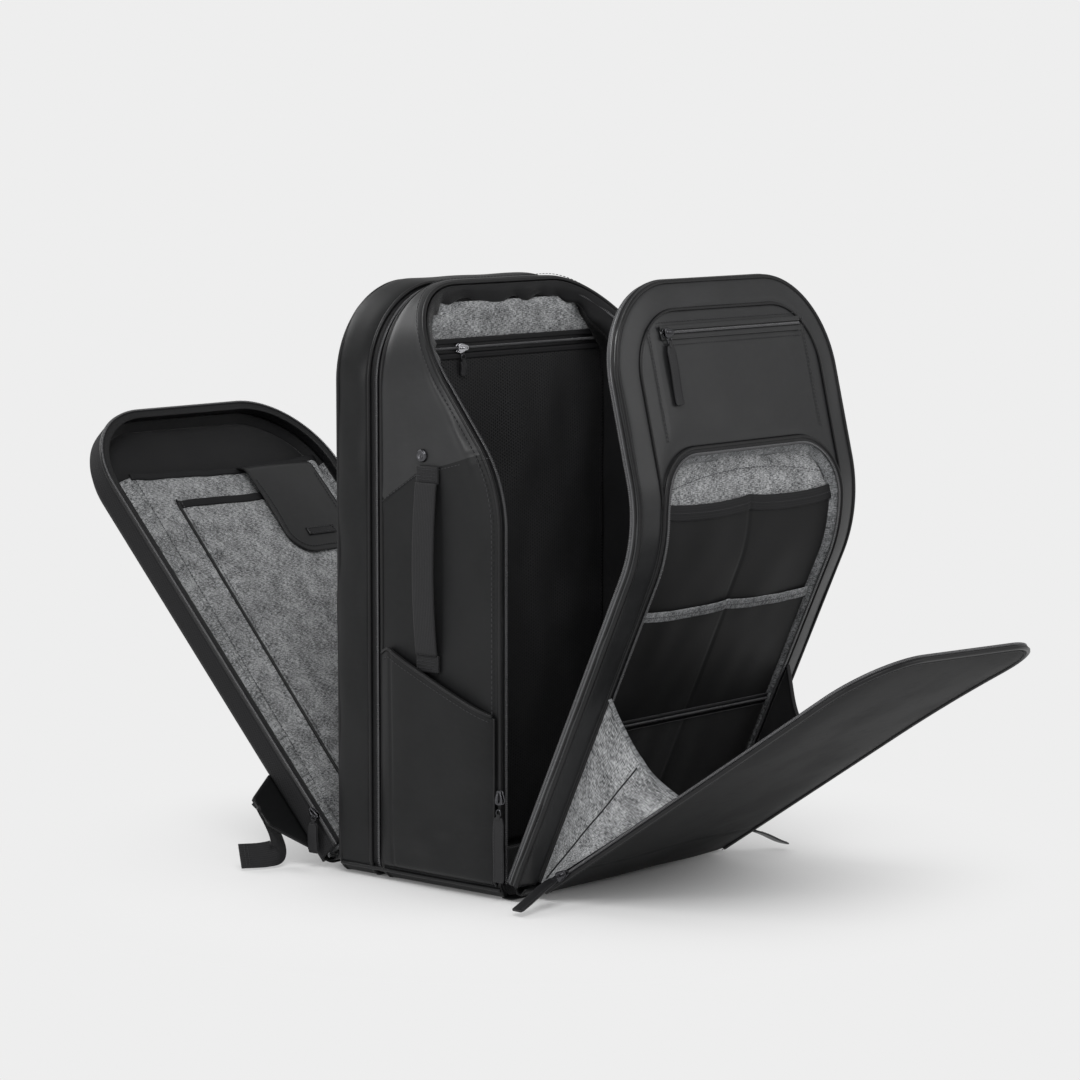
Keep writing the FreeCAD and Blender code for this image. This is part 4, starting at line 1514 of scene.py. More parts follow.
@dataclass
class Organizer:
    """The lid's outer pocket: its wall and zip, lined back, mesh rows and side gussets.

    Args:
        half: half width.
        top: arc length of its top.
        corner: radius of its upper corners.
        back: offset of its lined back.
        front: offset of its zip.
    """

    half: float = 130.0
    top: float = 424.0
    corner: float = 55.0
    back: float = 7.6
    front: float = 17.2
    body: str = "front_lid"

    def rim(self, inset: float, n: float, count: int = 380) -> Array:
        """Line round the organiser at an inset and offset."""
        loop = outline(self.half, 0.0, self.top, 18.0, self.corner, count, foot=14.0)
        return PROFILE.at(loop.x - loop.nx * inset, loop.z - loop.nz * inset, n)

    def build(self) -> None:
        """Make the organiser's pieces on the lid."""
        self.wall()
        self.back_lining()
        self.rows()
        for side in (-1.0, 1.0):
            self.gusset(side)

    def wall(self) -> None:
        """Outer and inner faces of the wall, the bound inner edge, and the open zip's half."""
        loop = outline(self.half, 0.0, self.top, 18.0, self.corner, 380, foot=14.0)
        out = unit(PROFILE.at(loop.x + loop.nx, loop.z + loop.nz, 0.0)
                   - PROFILE.at(loop.x, loop.z, 0.0))
        face = face_of(loop.x, loop.z)
        p = loft(self.rim(-1.2, 13.0), self.rim(0.0, self.front - 0.6), 6)
        attach(sheet("OrganizerWall", p, 1.4, SATIN, Seat.LID, out=out[:, None]), self.body,
               "organizer_wall")
        p = loft(self.rim(6.6, self.front - 0.8), self.rim(13.0, self.back + 0.4), 7)
        crease = 0.9 * ripple(p * np.array([1.4, 1, 1]), 34.0, 71) * crown(np.linspace(0, 1, 7)[None])
        p = p - out[:, None] * crease[..., None]
        attach(sheet("OrganizerInnerWall", p, 0.8, BINDING, Seat.LID, out=-out[:, None]), self.body)
        attach(band("OrganizerTape", self.rim(3.2, self.front), face, 7.0, 0.9, TAPE, Seat.LID),
               self.body)
        attach(piping("OrganizerPiping", self.rim(1.0, self.front - 0.6), face, Seat.LID, PIPING,
                      1.6), self.body)
        for piece in coil("OrganizerCoil", self.rim(6.4, self.front + 0.2), face, Seat.LID):
            attach(piece, self.body)

    def back_lining(self) -> None:
        """Mixed-yarn back of the organiser, gathered above the first pocket's hem."""
        x, s = fill(self.half - 7.0, 8.0, self.top - 8.0, 14.0, self.corner - 8.0, 120, 80)
        flat = np.stack([x, 0 * x, s], -1)
        head = np.clip((s - 350.0) / 30.0, 0.0, 1.0)
        seam = groove(np.abs(s - 398.0 + 0.0009 * x ** 2), 1.8, 1.4) * head
        n = self.back + 3.2 * ripple(flat * np.array([1.1, 1, 0.8]), 44.0, 81) * head + seam + 1.2 * head
        attach(sheet("OrganizerBack", PROFILE.at(x, s, n), 1.0, HEATHER, Seat.LID, out=FRONT),
               self.body)
        xs = np.linspace(-108.0, 108.0, 130)
        line = 401.5 - 0.0009 * xs ** 2
        row = PROFILE.at(xs, line, self.back + 3.1)
        attach(stitches("OrganizerHeadStitches", row, face_of(xs, line), Seat.LID, PALE_STITCH),
               self.body)

    def row(self, name: str, finish: Fabric, low: float, high: float, dip: float, n: float,
            bulge: float, seed: int, *nodes: str) -> tuple[Array, Array]:
        """One row of pockets: two filled cells either side of a seam, with a sagging mouth.

        Args:
            name: piece's name.
            finish: cloth.
            low: arc length of its foot.
            high: arc length of its mouth at the sides.
            dip: how far the mouth sags in the middle of each cell.
            n: offset of its edges.
            bulge: extra offset in each cell.
            seed: seed of its creases.
            nodes: frame nodes it replaces.

        Returns:
            The mouth's line and its outward normals.
        """
        u = np.linspace(-1.0, 1.0, 110)[None, :]
        t = np.linspace(0.0, 1.0, 70)[:, None]
        cell = np.abs(np.sin(math.pi * u)) ** 0.6
        top = high - dip * cell
        s = low + (top - low) * t
        x = u * (half_at(np.minimum(s, 415.0), self.half - 11.5, 8.0, 418.0, 14.0, self.corner - 6.0))
        flat = np.stack([x, 0 * x, s], -1)
        swell = bulge * cell * np.sin(math.pi * np.clip(t * 0.8 + 0.16, 0, 1)) + 0.5
        crease = 0.8 * ripple(flat * np.array([1.6, 1, 0.7]), 60.0, seed) * cell
        p = PROFILE.at(x, s, n + swell + crease + groove(np.abs(u), 0.012, 0.8))
        attach(sheet(name, p, 0.7, finish, Seat.LID, out=FRONT), self.body, *nodes)
        return p[-1], unit(face_of(x[-1], s[-1]))

    def hem(self, name: str, row: tuple[Array, Array], width: float, finish: Fabric) -> None:
        """An elastic hem along a row's mouth, with a row of stitches in it."""
        line, face = row
        line = line + face * 0.4
        attach(sweep(name, line, face, flat_section(width, 2.0, 12, 0.5), finish, Seat.LID), self.body)
        attach(stitches(name + "Stitches", line + face * 1.1, face, Seat.LID,
                        PALE_STITCH if finish is BINDING else STITCH, 3.0), self.body)

    def rows(self) -> None:
        """Two rows of mesh pockets, and the low zipped pocket under them."""
        first = self.row("UpperMeshRow", FINE_MESH, 150.0, 374.0, 3.4, 9.6, 2.2, 91,
                         "organizer_mesh_pocket")
        self.hem("UpperRowHem", first, 14.0, BLACK_BINDING)
        second = self.row("LowerMeshRow", FINE_MESH, 90.0, 282.0, 3.0, 12.2, 2.2, 93)
        self.hem("LowerRowHem", second, 10.0, BINDING)
        self.row("LowZipPocket", LINING, 14.0, 166.0, 1.0, 14.6, 1.6, 95, "organizer_lower_pocket")
        x = np.linspace(-117.0, 117.0, 130)
        s = 170.0 + 0 * x
        face = face_of(x, s)
        line = PROFILE.at(x, s, 16.3)
        attach(band("LowPocketTape", line, face, 9.0, 0.8, TAPE, Seat.LID), self.body)
        for piece in coil("LowPocketZip", line + face * 0.3, face, Seat.LID):
            attach(piece, self.body)
        for shift in (-5.4, 5.4):
            row = PROFILE.at(x, s + shift, 16.6)
            attach(stitches("LowPocketStitches%d" % shift, row, face, Seat.LID, PALE_STITCH, 3.4),
                   self.body)

    def gusset(self, side: float) -> None:
        """A triangular side gusset, folded in along its middle crease.

        Each point is hinge + u * (the way to the lid's corner or the flap's, mixed by v);
        the fold moves it inwards by a sine of v, and the free edge curves in.
        """
        word = "Left" if side < 0 else "Right"
        x = side * (self.half - 1.0)
        hinge = PROFILE.at(x, 10.0, 18.0)
        on_lid = PROFILE.at(x, 204.0, 17.4)
        on_flap = FLAP_TURN.apply(front_point(x, 186.0, 1.2))
        u = np.linspace(0.02, 1.0, 60)[:, None]
        v = np.linspace(0.0, 1.0, 44)[None, :]
        reach = u * (1.0 - 0.10 * np.sin(math.pi * v))
        way = (on_lid - hinge) * (1 - v)[..., None] + (on_flap - hinge) * v[..., None]
        p = hinge + reach[..., None] * way
        fold = 1.0 - np.abs(2 * v - 1.0) ** 1.3
        flat = np.stack([0 * reach, reach * 190, v * 100 + 0 * reach], -1)
        push = 13.0 * fold * reach + 1.8 * ripple(flat, 46.0, 101) * crown(v) * reach
        p[..., 0] = p[..., 0] - side * push
        # The right gusset and its hem take the black lining and black binding as painted shade; the left one
        # shows the mixed-yarn lining.
        finish = HEATHER if side < 0 else LINING
        cloth = sheet("OrganizerGusset" + word, p, 0.8, finish, Seat.LID, out=np.array([side, 0, 0]))
        hem = sweep("GussetHem" + word, p[-1], np.array([side, 0, 0.0]),
                    flat_section(1.8, 5.0, 10, 0.6), BINDING if side < 0 else BLACK_BINDING, Seat.LID)
        crease = piping("GussetCrease" + word, p[3:-3, 22] - np.array([side * 0.1, 0, 0]),
                        np.array([side, 0, 0]), Seat.LID, PIPING, 0.8)
        axis = Vector(unit(Seat.LID.place(np.array([0.0, -1.0, 0.0]))
                           - Seat.LID.place(np.zeros(3))))
        anchor = Seat.LID.place(PROFILE.at(0.0, 10.0, 18.9)) * METRE
        for piece, nodes in ((cloth, ("organizer_gusset_" + word.lower(),)), (hem, ()), (crease, ())):
            attach(piece, self.body, *nodes)
            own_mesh(piece)


@dataclass
class OrganizerFlap:
    """The organiser's drop-down front, flat when open, its tip bending over when shut.

    Args:
        half: half width.
        length: length from hinge to tip.
        corner: radius of its upper corners.
        bend_at: length at which the tip starts.
    """

    half: float = 130.0
    length: float = 434.0
    corner: float = 66.0
    bend_at: float = 359.8

    def mount(self, obj: bpy.types.Object, *nodes: str) -> None:
        """Bake a piece that spans the flap and its tip into its rest place, and hide the frame nodes it
        replaces.
        """
        start = Seat.FLAP.place(front_point(0.0, self.bend_at - 22.0, 3.0))
        end = Seat.FLAP.place(front_point(0.0, self.bend_at + 22.0, 3.0))
        bend(obj, "organizer_flap", "flap_tip", start, end, *nodes)

    def at(self, x: Array, r: Array, m: Array) -> Array:
        """Place on the flap: its free corner sags by a square of the distance past mid length."""
        far = np.clip((r - 240.0) / 190.0, 0.0, 1.2) ** 2
        return front_point(x, r, m + 9.0 * far * (0.45 + 0.55 * np.asarray(x) / self.half))

    def line(self, inset: float, m: float, count: int = 360) -> Array:
        """Line round the flap's free edges."""
        loop = outline(self.half, 0.0, self.length, 18.0, self.corner, count, foot=5.0)
        return self.at(loop.x - loop.nx * inset, loop.z - loop.nz * inset, m)

    def build(self) -> None:
        """Make the outer cloth, lining, piping, tape and zip."""
        x, r = fill(self.half - 1.0, 2.0, self.length - 1.0, 6.0, self.corner, 150, 84)
        flat = np.stack([x, 0 * x, r], -1)
        u = np.clip((x / self.half + 1) / 2, 0, 1)
        t = r / self.length
        swell = 2.8 * crown(u, 6.0) * crown(t, 10.0) + 0.7 * ripple(flat, 130.0, 111) * crown(u, 8.0)
        seam = groove(np.abs(r - 62.0 + 0.0006 * x ** 2), 1.5, 0.9)
        crease = 1.2 * ripple(flat * np.array([0.6, 1, 2.0]), 90.0, 113) * np.exp(-((r - 30) / 45) ** 2)
        m = 4.6 + swell + seam + crease * crown(u)
        outer = sheet("FlapOuter", self.at(x, r, m), 1.8, MATTE, Seat.FLAP, out=FRONT)
        self.mount(outer, "flap_shell", "flap_tip_shell")
        inner = 1.6 - 0.5 * ripple(flat, 70.0, 115) - 0.9 * crown(u, 3.0)
        lining = sheet("FlapLining", self.at(x * 0.975, r * 0.985 + 3, inner), 0.8, LINING,
                       Seat.FLAP, out=REAR)
        self.mount(lining)
        loop = outline(self.half, 0.0, self.length, 18.0, self.corner, 360, foot=5.0)
        out = loop.out
        self.mount(piping("FlapPiping", self.line(1.0, 4.8), out, Seat.FLAP, PIPING, 2.2))
        tape = sheet("FlapTape", loft(self.line(1.2, 3.6), self.line(0.4, 0.0), 5), 0.8, COATED_TAPE,
                     Seat.FLAP, out=out[:, None])
        self.mount(tape, "flap_zip_tape", "flap_tip_tape")
        for piece in coil("FlapCoil", self.line(0.8, 1.5), out, Seat.FLAP):
            self.mount(piece)
        facing = sheet("FlapFacing", loft(self.line(0.8, 0.9), self.line(13.0, 1.2), 6), 0.7, TAPE,
                       Seat.FLAP, out=REAR)
        self.mount(facing)
        rows = self.line(5.4, 6.4)
        self.mount(stitches("FlapStitches", rows, FRONT, Seat.FLAP, STITCH, 4.2))
        x = np.linspace(-128.0, 128.0, 80)
        spots = [Seat.LID.place(PROFILE.at(x, 7.0, 17.6)), Seat.LID.place(PROFILE.at(x, 3.5, 19.4)),
                 Seat.FLAP.place(front_point(x, -1.0, 2.4)), Seat.FLAP.place(front_point(x, 3.0, 4.4)),
                 Seat.FLAP.place(front_point(x, 9.0, 5.0))]
        cloth = sheet("FlapHingeCloth", np.stack(spots, 1), 1.0, SHELL, out=FRONT - UP)
        bend(cloth, "front_lid", "organizer_flap", spots[1][40], spots[3][40])


# ---------------------------------------------------------------- rear lid --
@dataclass
class RearLid:
    """The laptop lid: its tray wall, zip, linings, sleeves and outer back panel.

    Args:
        half: half width.
        foot: height where its wall starts.
        height: height of its top edge.
        deep: depth of the tray.
        corner: radius of its upper corners.
    """

    half: float = 156.0
    foot: float = 26.0
    height: float = 540.0
    deep: float = 29.4
    corner: float = 88.0
    body: str = "back_lid"

    def line(self, inset: float, n: float, count: int = 440, foot: Optional[float] = None) -> Array:
        """Line round the lid's edge at an inset and offset."""
        loop = outline(self.half, 0.0, self.height, 18.0, self.corner, count, foot=foot or self.foot)
        return rear_point(loop.x - loop.nx * inset, loop.z - loop.nz * inset, n)

    def outward(self, count: int = 440) -> Array:
        """Outward directions round the lid's edge."""
        loop = outline(self.half, 0.0, self.height, 18.0, self.corner, count, foot=self.foot)
        return loop.out

    def build(self) -> None:
        """Make every piece of the lid but the harness."""
        self.wall()
        self.zip_edge()
        self.outer_panel()
        self.linings()
        self.laptop_sleeve()
        self.tablet_sleeve()
        self.hinge_cloth()

    def wall(self) -> None:
        """Tray wall: an outer cloth that turns over the piped rear edge, and a smooth inner one."""
        out = self.outward()
        q = np.linspace(0.0, 1.0, 14)
        n = 2.4 + (self.deep - 3.0) * q
        inset = 0.4 + 5.0 * np.clip((q - 0.72) / 0.28, 0, 1) ** 2 - 1.6 * crown(q, 3.0)
        p = np.stack([self.line(i, m) for i, m in zip(inset, n)], 1)
        attach(sheet("TrayWall", p, 1.8, AIR_MESH, Seat.BACK, out=out[:, None]), self.body,
               "back_tray_wall")
        p = np.stack([self.line(3.4 + 1.2 * c, m) for m, c in zip(np.linspace(1.6, 15.0, 7),
                                                                  crown(np.linspace(0, 1, 7)))], 1)
        attach(sheet("TrayInnerWall", p, 0.8, TAPE, Seat.BACK, out=-out[:, None]), self.body)
        p = np.stack([self.line(3.6 + 7.0 * c, m) for m, c in zip(np.linspace(15.0, 24.6, 6),
                                                                  np.linspace(0, 1, 6))], 1)
        crease = 0.8 * ripple(p * np.array([1, 1, 0.6]), 40.0, 131)
        flange = sheet("TrayFlange", p - out[:, None] * crease[..., None], 0.8, HEATHER, Seat.BACK,
                       out=-out[:, None])
        start, end = Seat.BACK.place(rear_point(np.zeros(2), np.array([0.0, 1.0]), np.zeros(2)))
        paint(flange, LINING, (face_centres(flange) - start) @ (end - start) > 462.0)
        attach(flange, self.body)
        attach(piping("RearPiping", self.line(6.0, self.deep - 0.6), out, Seat.BACK, PIPING, 1.8),
               self.body)

    def zip_edge(self) -> None:
        """The lid's half of the rear zip, and the pack's half facing it."""
        out = self.outward()
        attach(piping("RearRimPiping", self.line(0.6, 2.4), out, Seat.BACK, PIPING, 2.0), self.body)
        p = loft(self.line(-0.4, 2.8), self.line(1.2, 0.2), 4)
        attach(sheet("RearZipTape", p, 0.8, TAPE, Seat.BACK, out=out[:, None]), self.body,
               "back_zip_tape")
        for piece in coil("RearLidCoil", self.line(0.6, 0.8), out, Seat.BACK):
            attach(piece, self.body)
        p = loft(self.line(1.4, 0.4), self.line(9.0, 1.4), 4)
        attach(sheet("RearFacing", p, 0.7, TAPE, Seat.BACK, out=FRONT), self.body)
        loop = outline(self.half, 0.0, self.height, 18.0, 88.0, RIM_SAMPLES, foot=self.foot)

        def pack(inset: float, n: float) -> Array:
            """Line round the pack's rear rim at an inset and offset."""
            return rear_point(loop.x - loop.nx * inset, loop.z - loop.nz * inset, n)
        attach(sheet("PackRearTape", loft(pack(1.2, -3.6), pack(9.5, -2.6), 5), 0.8, TAPE, out=REAR),
               "pack_body")
        for piece in coil("PackRearCoil", pack(9.8, -2.2), np.broadcast_to(REAR, (RIM_SAMPLES, 3)),
                          Seat.BODY):
            attach(piece, "pack_body")

    def outer_panel(self) -> None:
        """The back panel that the pads and harness are sewn to."""
        x, z = fill(self.half - 5.0, 22.0, self.height - 5.0, 12.0, self.corner - 5.0, 90, 60)
        flat = np.stack([x, 0 * x, z], -1)
        n = self.deep - 0.4 + 0.5 * ripple(flat, 80.0, 141)
        attach(sheet("BackPanel", rear_point(x, z, n), 1.6, SHELL, Seat.BACK, out=REAR), self.body,
               "back_panel")
        t = np.linspace(0, 1, 200)
        for sign, word in SIDES:
            z = 44.0 + 440.0 * t
            row = rear_point(sign * (118.0 + 0 * z), z, self.deep + 1.0)
            attach(stitches("BackPanelStitches" + word, row, REAR, Seat.BACK, STITCH), self.body)

    def linings(self) -> None:
        """The tray's floor: black at the head, mixed yarn below, and a bound step between."""
        x, z = fill(self.half - 10.0, 26.0, 474.0, 8.0, 20.0, 90, 60)
        x = np.clip(x / (self.half - 10.0), -1, 1) * half_at(z, self.half - 10.0, 10.0,
                                                             self.height - 10.0, 10.0, self.corner - 10.0)
        flat = np.stack([x, 0 * x, z], -1)
        attach(sheet("TrayFloor", rear_point(x, z, 25.0 - 0.9 * ripple(flat, 60.0, 151)), 1.0,
                     HEATHER, Seat.BACK, out=FRONT), self.body)
        t = np.linspace(0.0, 1.0, 40)[:, None]
        u = np.linspace(-1.0, 1.0, 70)[None, :]
        z = 468.0 + 62.0 * t + 0 * u
        x = u * half_at(z, self.half - 8.0, 10.0, self.height - 8.0, 10.0, self.corner - 8.0)
        flat = np.stack([x, 0 * x, z], -1)
        n = 24.0 - 3.0 * crown(t, 3.0) * crown((u + 1) / 2, 6.0) - 0.7 * ripple(flat, 70.0, 153)
        attach(sheet("TrayHead", rear_point(x, z, n), 1.0, LINING, Seat.BACK, out=FRONT), self.body)

    def pocket(self, name: str, x0: float, x1: float, z0: float, z1: float, n: float, dip: float,
               seed: int, *nodes: str) -> tuple[Array, Array]:
        """A sleeve's front cloth, creased along its sides, with a slightly sagging mouth.

        Returns:
            The mouth's line and the left edge's line.
        """
        u = np.linspace(0.0, 1.0, 90)[None, :]
        t = np.linspace(0.0, 1.0, 130)[:, None]
        top = z1 - dip * np.sin(math.pi * u)
        z = z0 + (top - z0) * t
        slant = 13.0 * (1 - t) * (1 - u)
        x = x0 + (x1 - x0) * u - slant * (x1 - x0) / 260.0
        flat = np.stack([x, 0 * x, z], -1)
        side = np.exp(-(u / 0.10) ** 2) + np.exp(-((1 - u) / 0.10) ** 2)
        pull = 4.6 * ripple(flat * np.array([0.5, 1, 2.0]), 38.0, seed) * side
        soft = 1.8 * ripple(flat * np.array([1.2, 1, 0.8]), 54.0, seed + 1)
        edge = np.minimum(u, 1 - u) / 0.03
        p = rear_point(x, z, n + 0.8 - 2.2 * crown(u, 6.0) * crown(t, 8.0)
                       - (pull + soft) * np.clip(edge, 0, 1))
        attach(sheet(name, p, 1.4, HEATHER, Seat.BACK, out=FRONT), self.body, *nodes)
        return p[-1], p[:, 0]

    def laptop_sleeve(self) -> None:
        """The large sleeve, its black hem, its side walls and a row of stitches."""
        mouth, left = self.pocket("LaptopSleeve", -114.0, 143.0, 30.0, 470.0, 14.6, 5.0, 161,
                                  "laptop_sleeve")
        hem = mouth + FRONT * 0.7
        attach(sweep("LaptopSleeveHem", hem, FRONT, flat_section(7.0, 2.4, 12, 0.5), BLACK_BINDING,
                     Seat.BACK), self.body)
        right = left.copy()
        right[:, 0] = 141.0
        for sign, edge, spread, word in ((-1.0, left, 14.0, "Left"), (1.0, right, 5.0, "Right")):
            wide = edge + np.array([sign * spread, 0, 0])
            wide[:, 1] = 125.0
            p = loft(edge, wide, 7)
            fold = 1.6 * ripple(p * np.array([1, 1, 1.6]), 36.0, 163 + int(sign))
            p[..., 1] += fold * crown(np.linspace(0, 1, 7)[None])
            attach(sheet("LaptopSleeveSide" + word, p, 0.8, HEATHER, Seat.BACK, out=FRONT), self.body)
        attach(stitches("LaptopSleeveStitches", left + np.array([4.0, -1.4, 0]), FRONT, Seat.BACK,
                        PALE_STITCH), self.body)

    def tablet_sleeve(self) -> None:
        """The smaller sleeve on the first, its wide black hem, and the dark piped side."""
        mouth, left = self.pocket("TabletSleeve", -80.0, 127.0, 36.0, 430.0, 9.4, 3.0, 171,
                                  "tablet_sleeve")
        hem = mouth + FRONT * 0.6
        attach(sweep("TabletSleeveHem", hem, FRONT, flat_section(9.0, 2.2, 12, 0.5), BLACK_BINDING,
                     Seat.BACK), self.body)
        attach(piping("TabletSleevePiping", left + FRONT * 0.2, FRONT, Seat.BACK, PIPING, 1.6),
               self.body)
        wide = left + np.array([-9.0, 0.0, 0])
        wide[:, 1] = 100.6 + 14.2
        attach(sheet("TabletSleeveSide", loft(left, wide, 5), 0.8, HEATHER, Seat.BACK, out=FRONT),
               self.body)
        attach(stitches("TabletSleeveStitches", left + np.array([4.5, -1.2, 0]), FRONT, Seat.BACK,
                        PALE_STITCH), self.body)

    def hinge_cloth(self) -> None:
        """Base cloth from the pack's rear edge down to the lid's foot."""
        x = np.linspace(-146.0, 146.0, 90)
        rows = [np.stack([x, np.full(90, y), np.full(90, z)], -1)
                for y, z in ((92.0, 1.4), (97.0, 3.0), (99.5, 10.0))]
        rows += [Seat.BACK.place(rear_point(x, z, n)) for z, n in ((22.0, 2.0), (20.5, 12.0),
                                                                   (21.0, 22.0), (25.0, 28.0))]
        cloth = sheet("RearHingeCloth", np.stack(rows, 1), 1.0, SHELL, out=REAR - UP)
        bend(cloth, "pack_body", "back_lid", rows[2][45], rows[4][45])


@dataclass
class Tongue:
    """The coated flap that folds down over both sleeves, with a plain patch near its end.

    Args:
        left: its left edge.
        right: its right edge.
        top: height of its hinge.
        tip: height of its end.
        corner: radius of its lower corners.
    """

    left: float = 30.0
    right: float = 122.0
    top: float = 470.0
    tip: float = 352.0
    corner: float = 26.0
    body: str = "sleeve_flap"

    def build(self) -> None:
        """Make the tongue, its bound edge and the patch."""
        mid, half = (self.left + self.right) / 2, (self.right - self.left) / 2
        x, z = fill(half, -self.top, -self.tip, 2.0, self.corner, 70, 40)
        t = (self.top + z) / (self.top - self.tip)
        n = 6.0 - 2.0 * crown((x / half + 1) / 2, 2.0) * 0.7 - 2.2 * np.sin(math.pi * np.clip(t, 0, 1))
        n = n + 13.0 * np.clip((0.12 - t) / 0.12, 0, 1) ** 2
        p = rear_point(x + mid, -z, n)
        attach(sheet("SleeveTongue", p, 1.8, SATIN, Seat.BACK, out=FRONT), self.body, "sleeve_flap")
        rim = np.concatenate([p[6:-1, 0], p[-1], p[-2:5:-1, -1]])
        rim = resample(rim, 3.0)
        attach(piping("TongueEdge", rim + REAR * 0.8, FRONT, Seat.BACK, PIPING, 1.1), self.body)
        inner = rim + unit(np.array([mid, rim[:, 1].mean(), 410.0]) - rim) * 5.0
        attach(stitches("TongueStitches", inner[8:-8] + FRONT * 0.9, FRONT, Seat.BACK, STITCH, 3.6),
               self.body)
        u, v = np.meshgrid(np.linspace(-19, 19, 12), np.linspace(-4.5, 4.5, 6), indexing="ij")
        patch = rear_point(mid + u, self.tip + 22.0 + v, 2.1 + 0.0008 * u ** 2)
        attach(sheet("TonguePatch", patch, 0.7, PATCH, Seat.BACK, out=FRONT), self.body)
        edge = np.array([[-17.5, -3.2], [17.5, -3.2], [17.5, 3.2], [-17.5, 3.2], [-17.5, -3.2]])
        line = resample(rear_point(mid + edge[:, 0], self.tip + 22.0 + edge[:, 1], 2.2), 2.0)
        attach(stitches("TonguePatchStitches", line + FRONT * 0.2, FRONT, Seat.BACK, STITCH, 2.4),
               self.body)


def puffed(obj: bpy.types.Object, swell: float, limit: float, level: int = 1) -> None:
    """Let a padded piece fill out: a cloth run under pressure, its movement held to a limit.

    A copy is remeshed evenly and run for 20 frames without gravity. The difference from
    the starting shape is shortened to the limit, and the result takes the piece's name.

    Args:
        obj: the piece, at its rest place.
        swell: pressure inside.
        limit: greatest movement in millimetres.
        level: subdivision levels applied at the end.
    """
    scene = bpy.context.scene
    remesh = obj.modifiers.new("Even", "REMESH")
    remesh.mode, remesh.voxel_size, remesh.use_smooth_shade = "VOXEL", 0.0055, True
    graph = bpy.context.evaluated_depsgraph_get()
    even = bpy.data.meshes.new_from_object(obj.evaluated_get(graph))
    obj.modifiers.clear()
    even.materials.clear()
    for item in obj.data.materials:
        even.materials.append(item)
    obj.data = even
    count = len(even.vertices)
    start = np.zeros(count * 3, np.float32)
    even.vertices.foreach_get("co", start)
    cloth = obj.modifiers.new("Fill", "CLOTH")
    cloth.settings.quality = 5
    cloth.settings.use_pressure = True
    cloth.settings.uniform_pressure_force = swell
    cloth.settings.tension_stiffness = cloth.settings.compression_stiffness = 18.0
    cloth.settings.bending_stiffness = 1.5
    cloth.settings.effector_weights.gravity = 0.0
    cloth.collision_settings.use_self_collision = False
    cloth.point_cache.frame_start, cloth.point_cache.frame_end = 1, 20
    for frame_number in range(1, 21):
        scene.frame_set(frame_number)
    graph = bpy.context.evaluated_depsgraph_get()
    blown = np.zeros(count * 3, np.float32)
    obj.evaluated_get(graph).data.vertices.foreach_get("co", blown)
    obj.modifiers.clear()
    scene.frame_set(1)
    move = (blown - start).reshape(-1, 3)
    far = np.linalg.norm(move, axis=1, keepdims=True)
    move *= np.minimum(1.0, limit * METRE / np.maximum(far, 1e-9))
    even.vertices.foreach_set("co", (start.reshape(-1, 3) + move).ravel())
    even.update()
    finer = obj.modifiers.new("Finer", "SUBSURF")
    finer.levels = finer.render_levels = level
    graph = bpy.context.evaluated_depsgraph_get()
    obj.data = bpy.data.meshes.new_from_object(obj.evaluated_get(graph))
    obj.modifiers.clear()
    obj.data.polygons.foreach_set("use_smooth", np.ones(len(obj.data.polygons), bool))


def pad_block(name: str, grid: Array, low: Array, finish: Finish) -> bpy.types.Object:
    """A closed cushion between an upper grid and a lower one.

    Args:
        name: piece's name.
        grid: upper face at the closed place.
        low: lower face, the same shape.
        finish: its cloth.

    Returns:
        The object, at rest.
    """
    rows, cols = grid.shape[:2]
    count = rows * cols
    ids = np.arange(count).reshape(rows, cols)
    sides = [np.stack([r[:-1], r[1:], r[1:] + count, r[:-1] + count], -1)
             for r in (ids[:, 0], ids[:, -1], ids[0], ids[-1])]
    faces = np.vstack([grid_faces(rows, cols), grid_faces(rows, cols)[:, ::-1] + count] + sides)
    return to_object(name, np.concatenate([grid.reshape(-1, 3), low.reshape(-1, 3)]), faces, None,
                     finish, Seat.BACK)


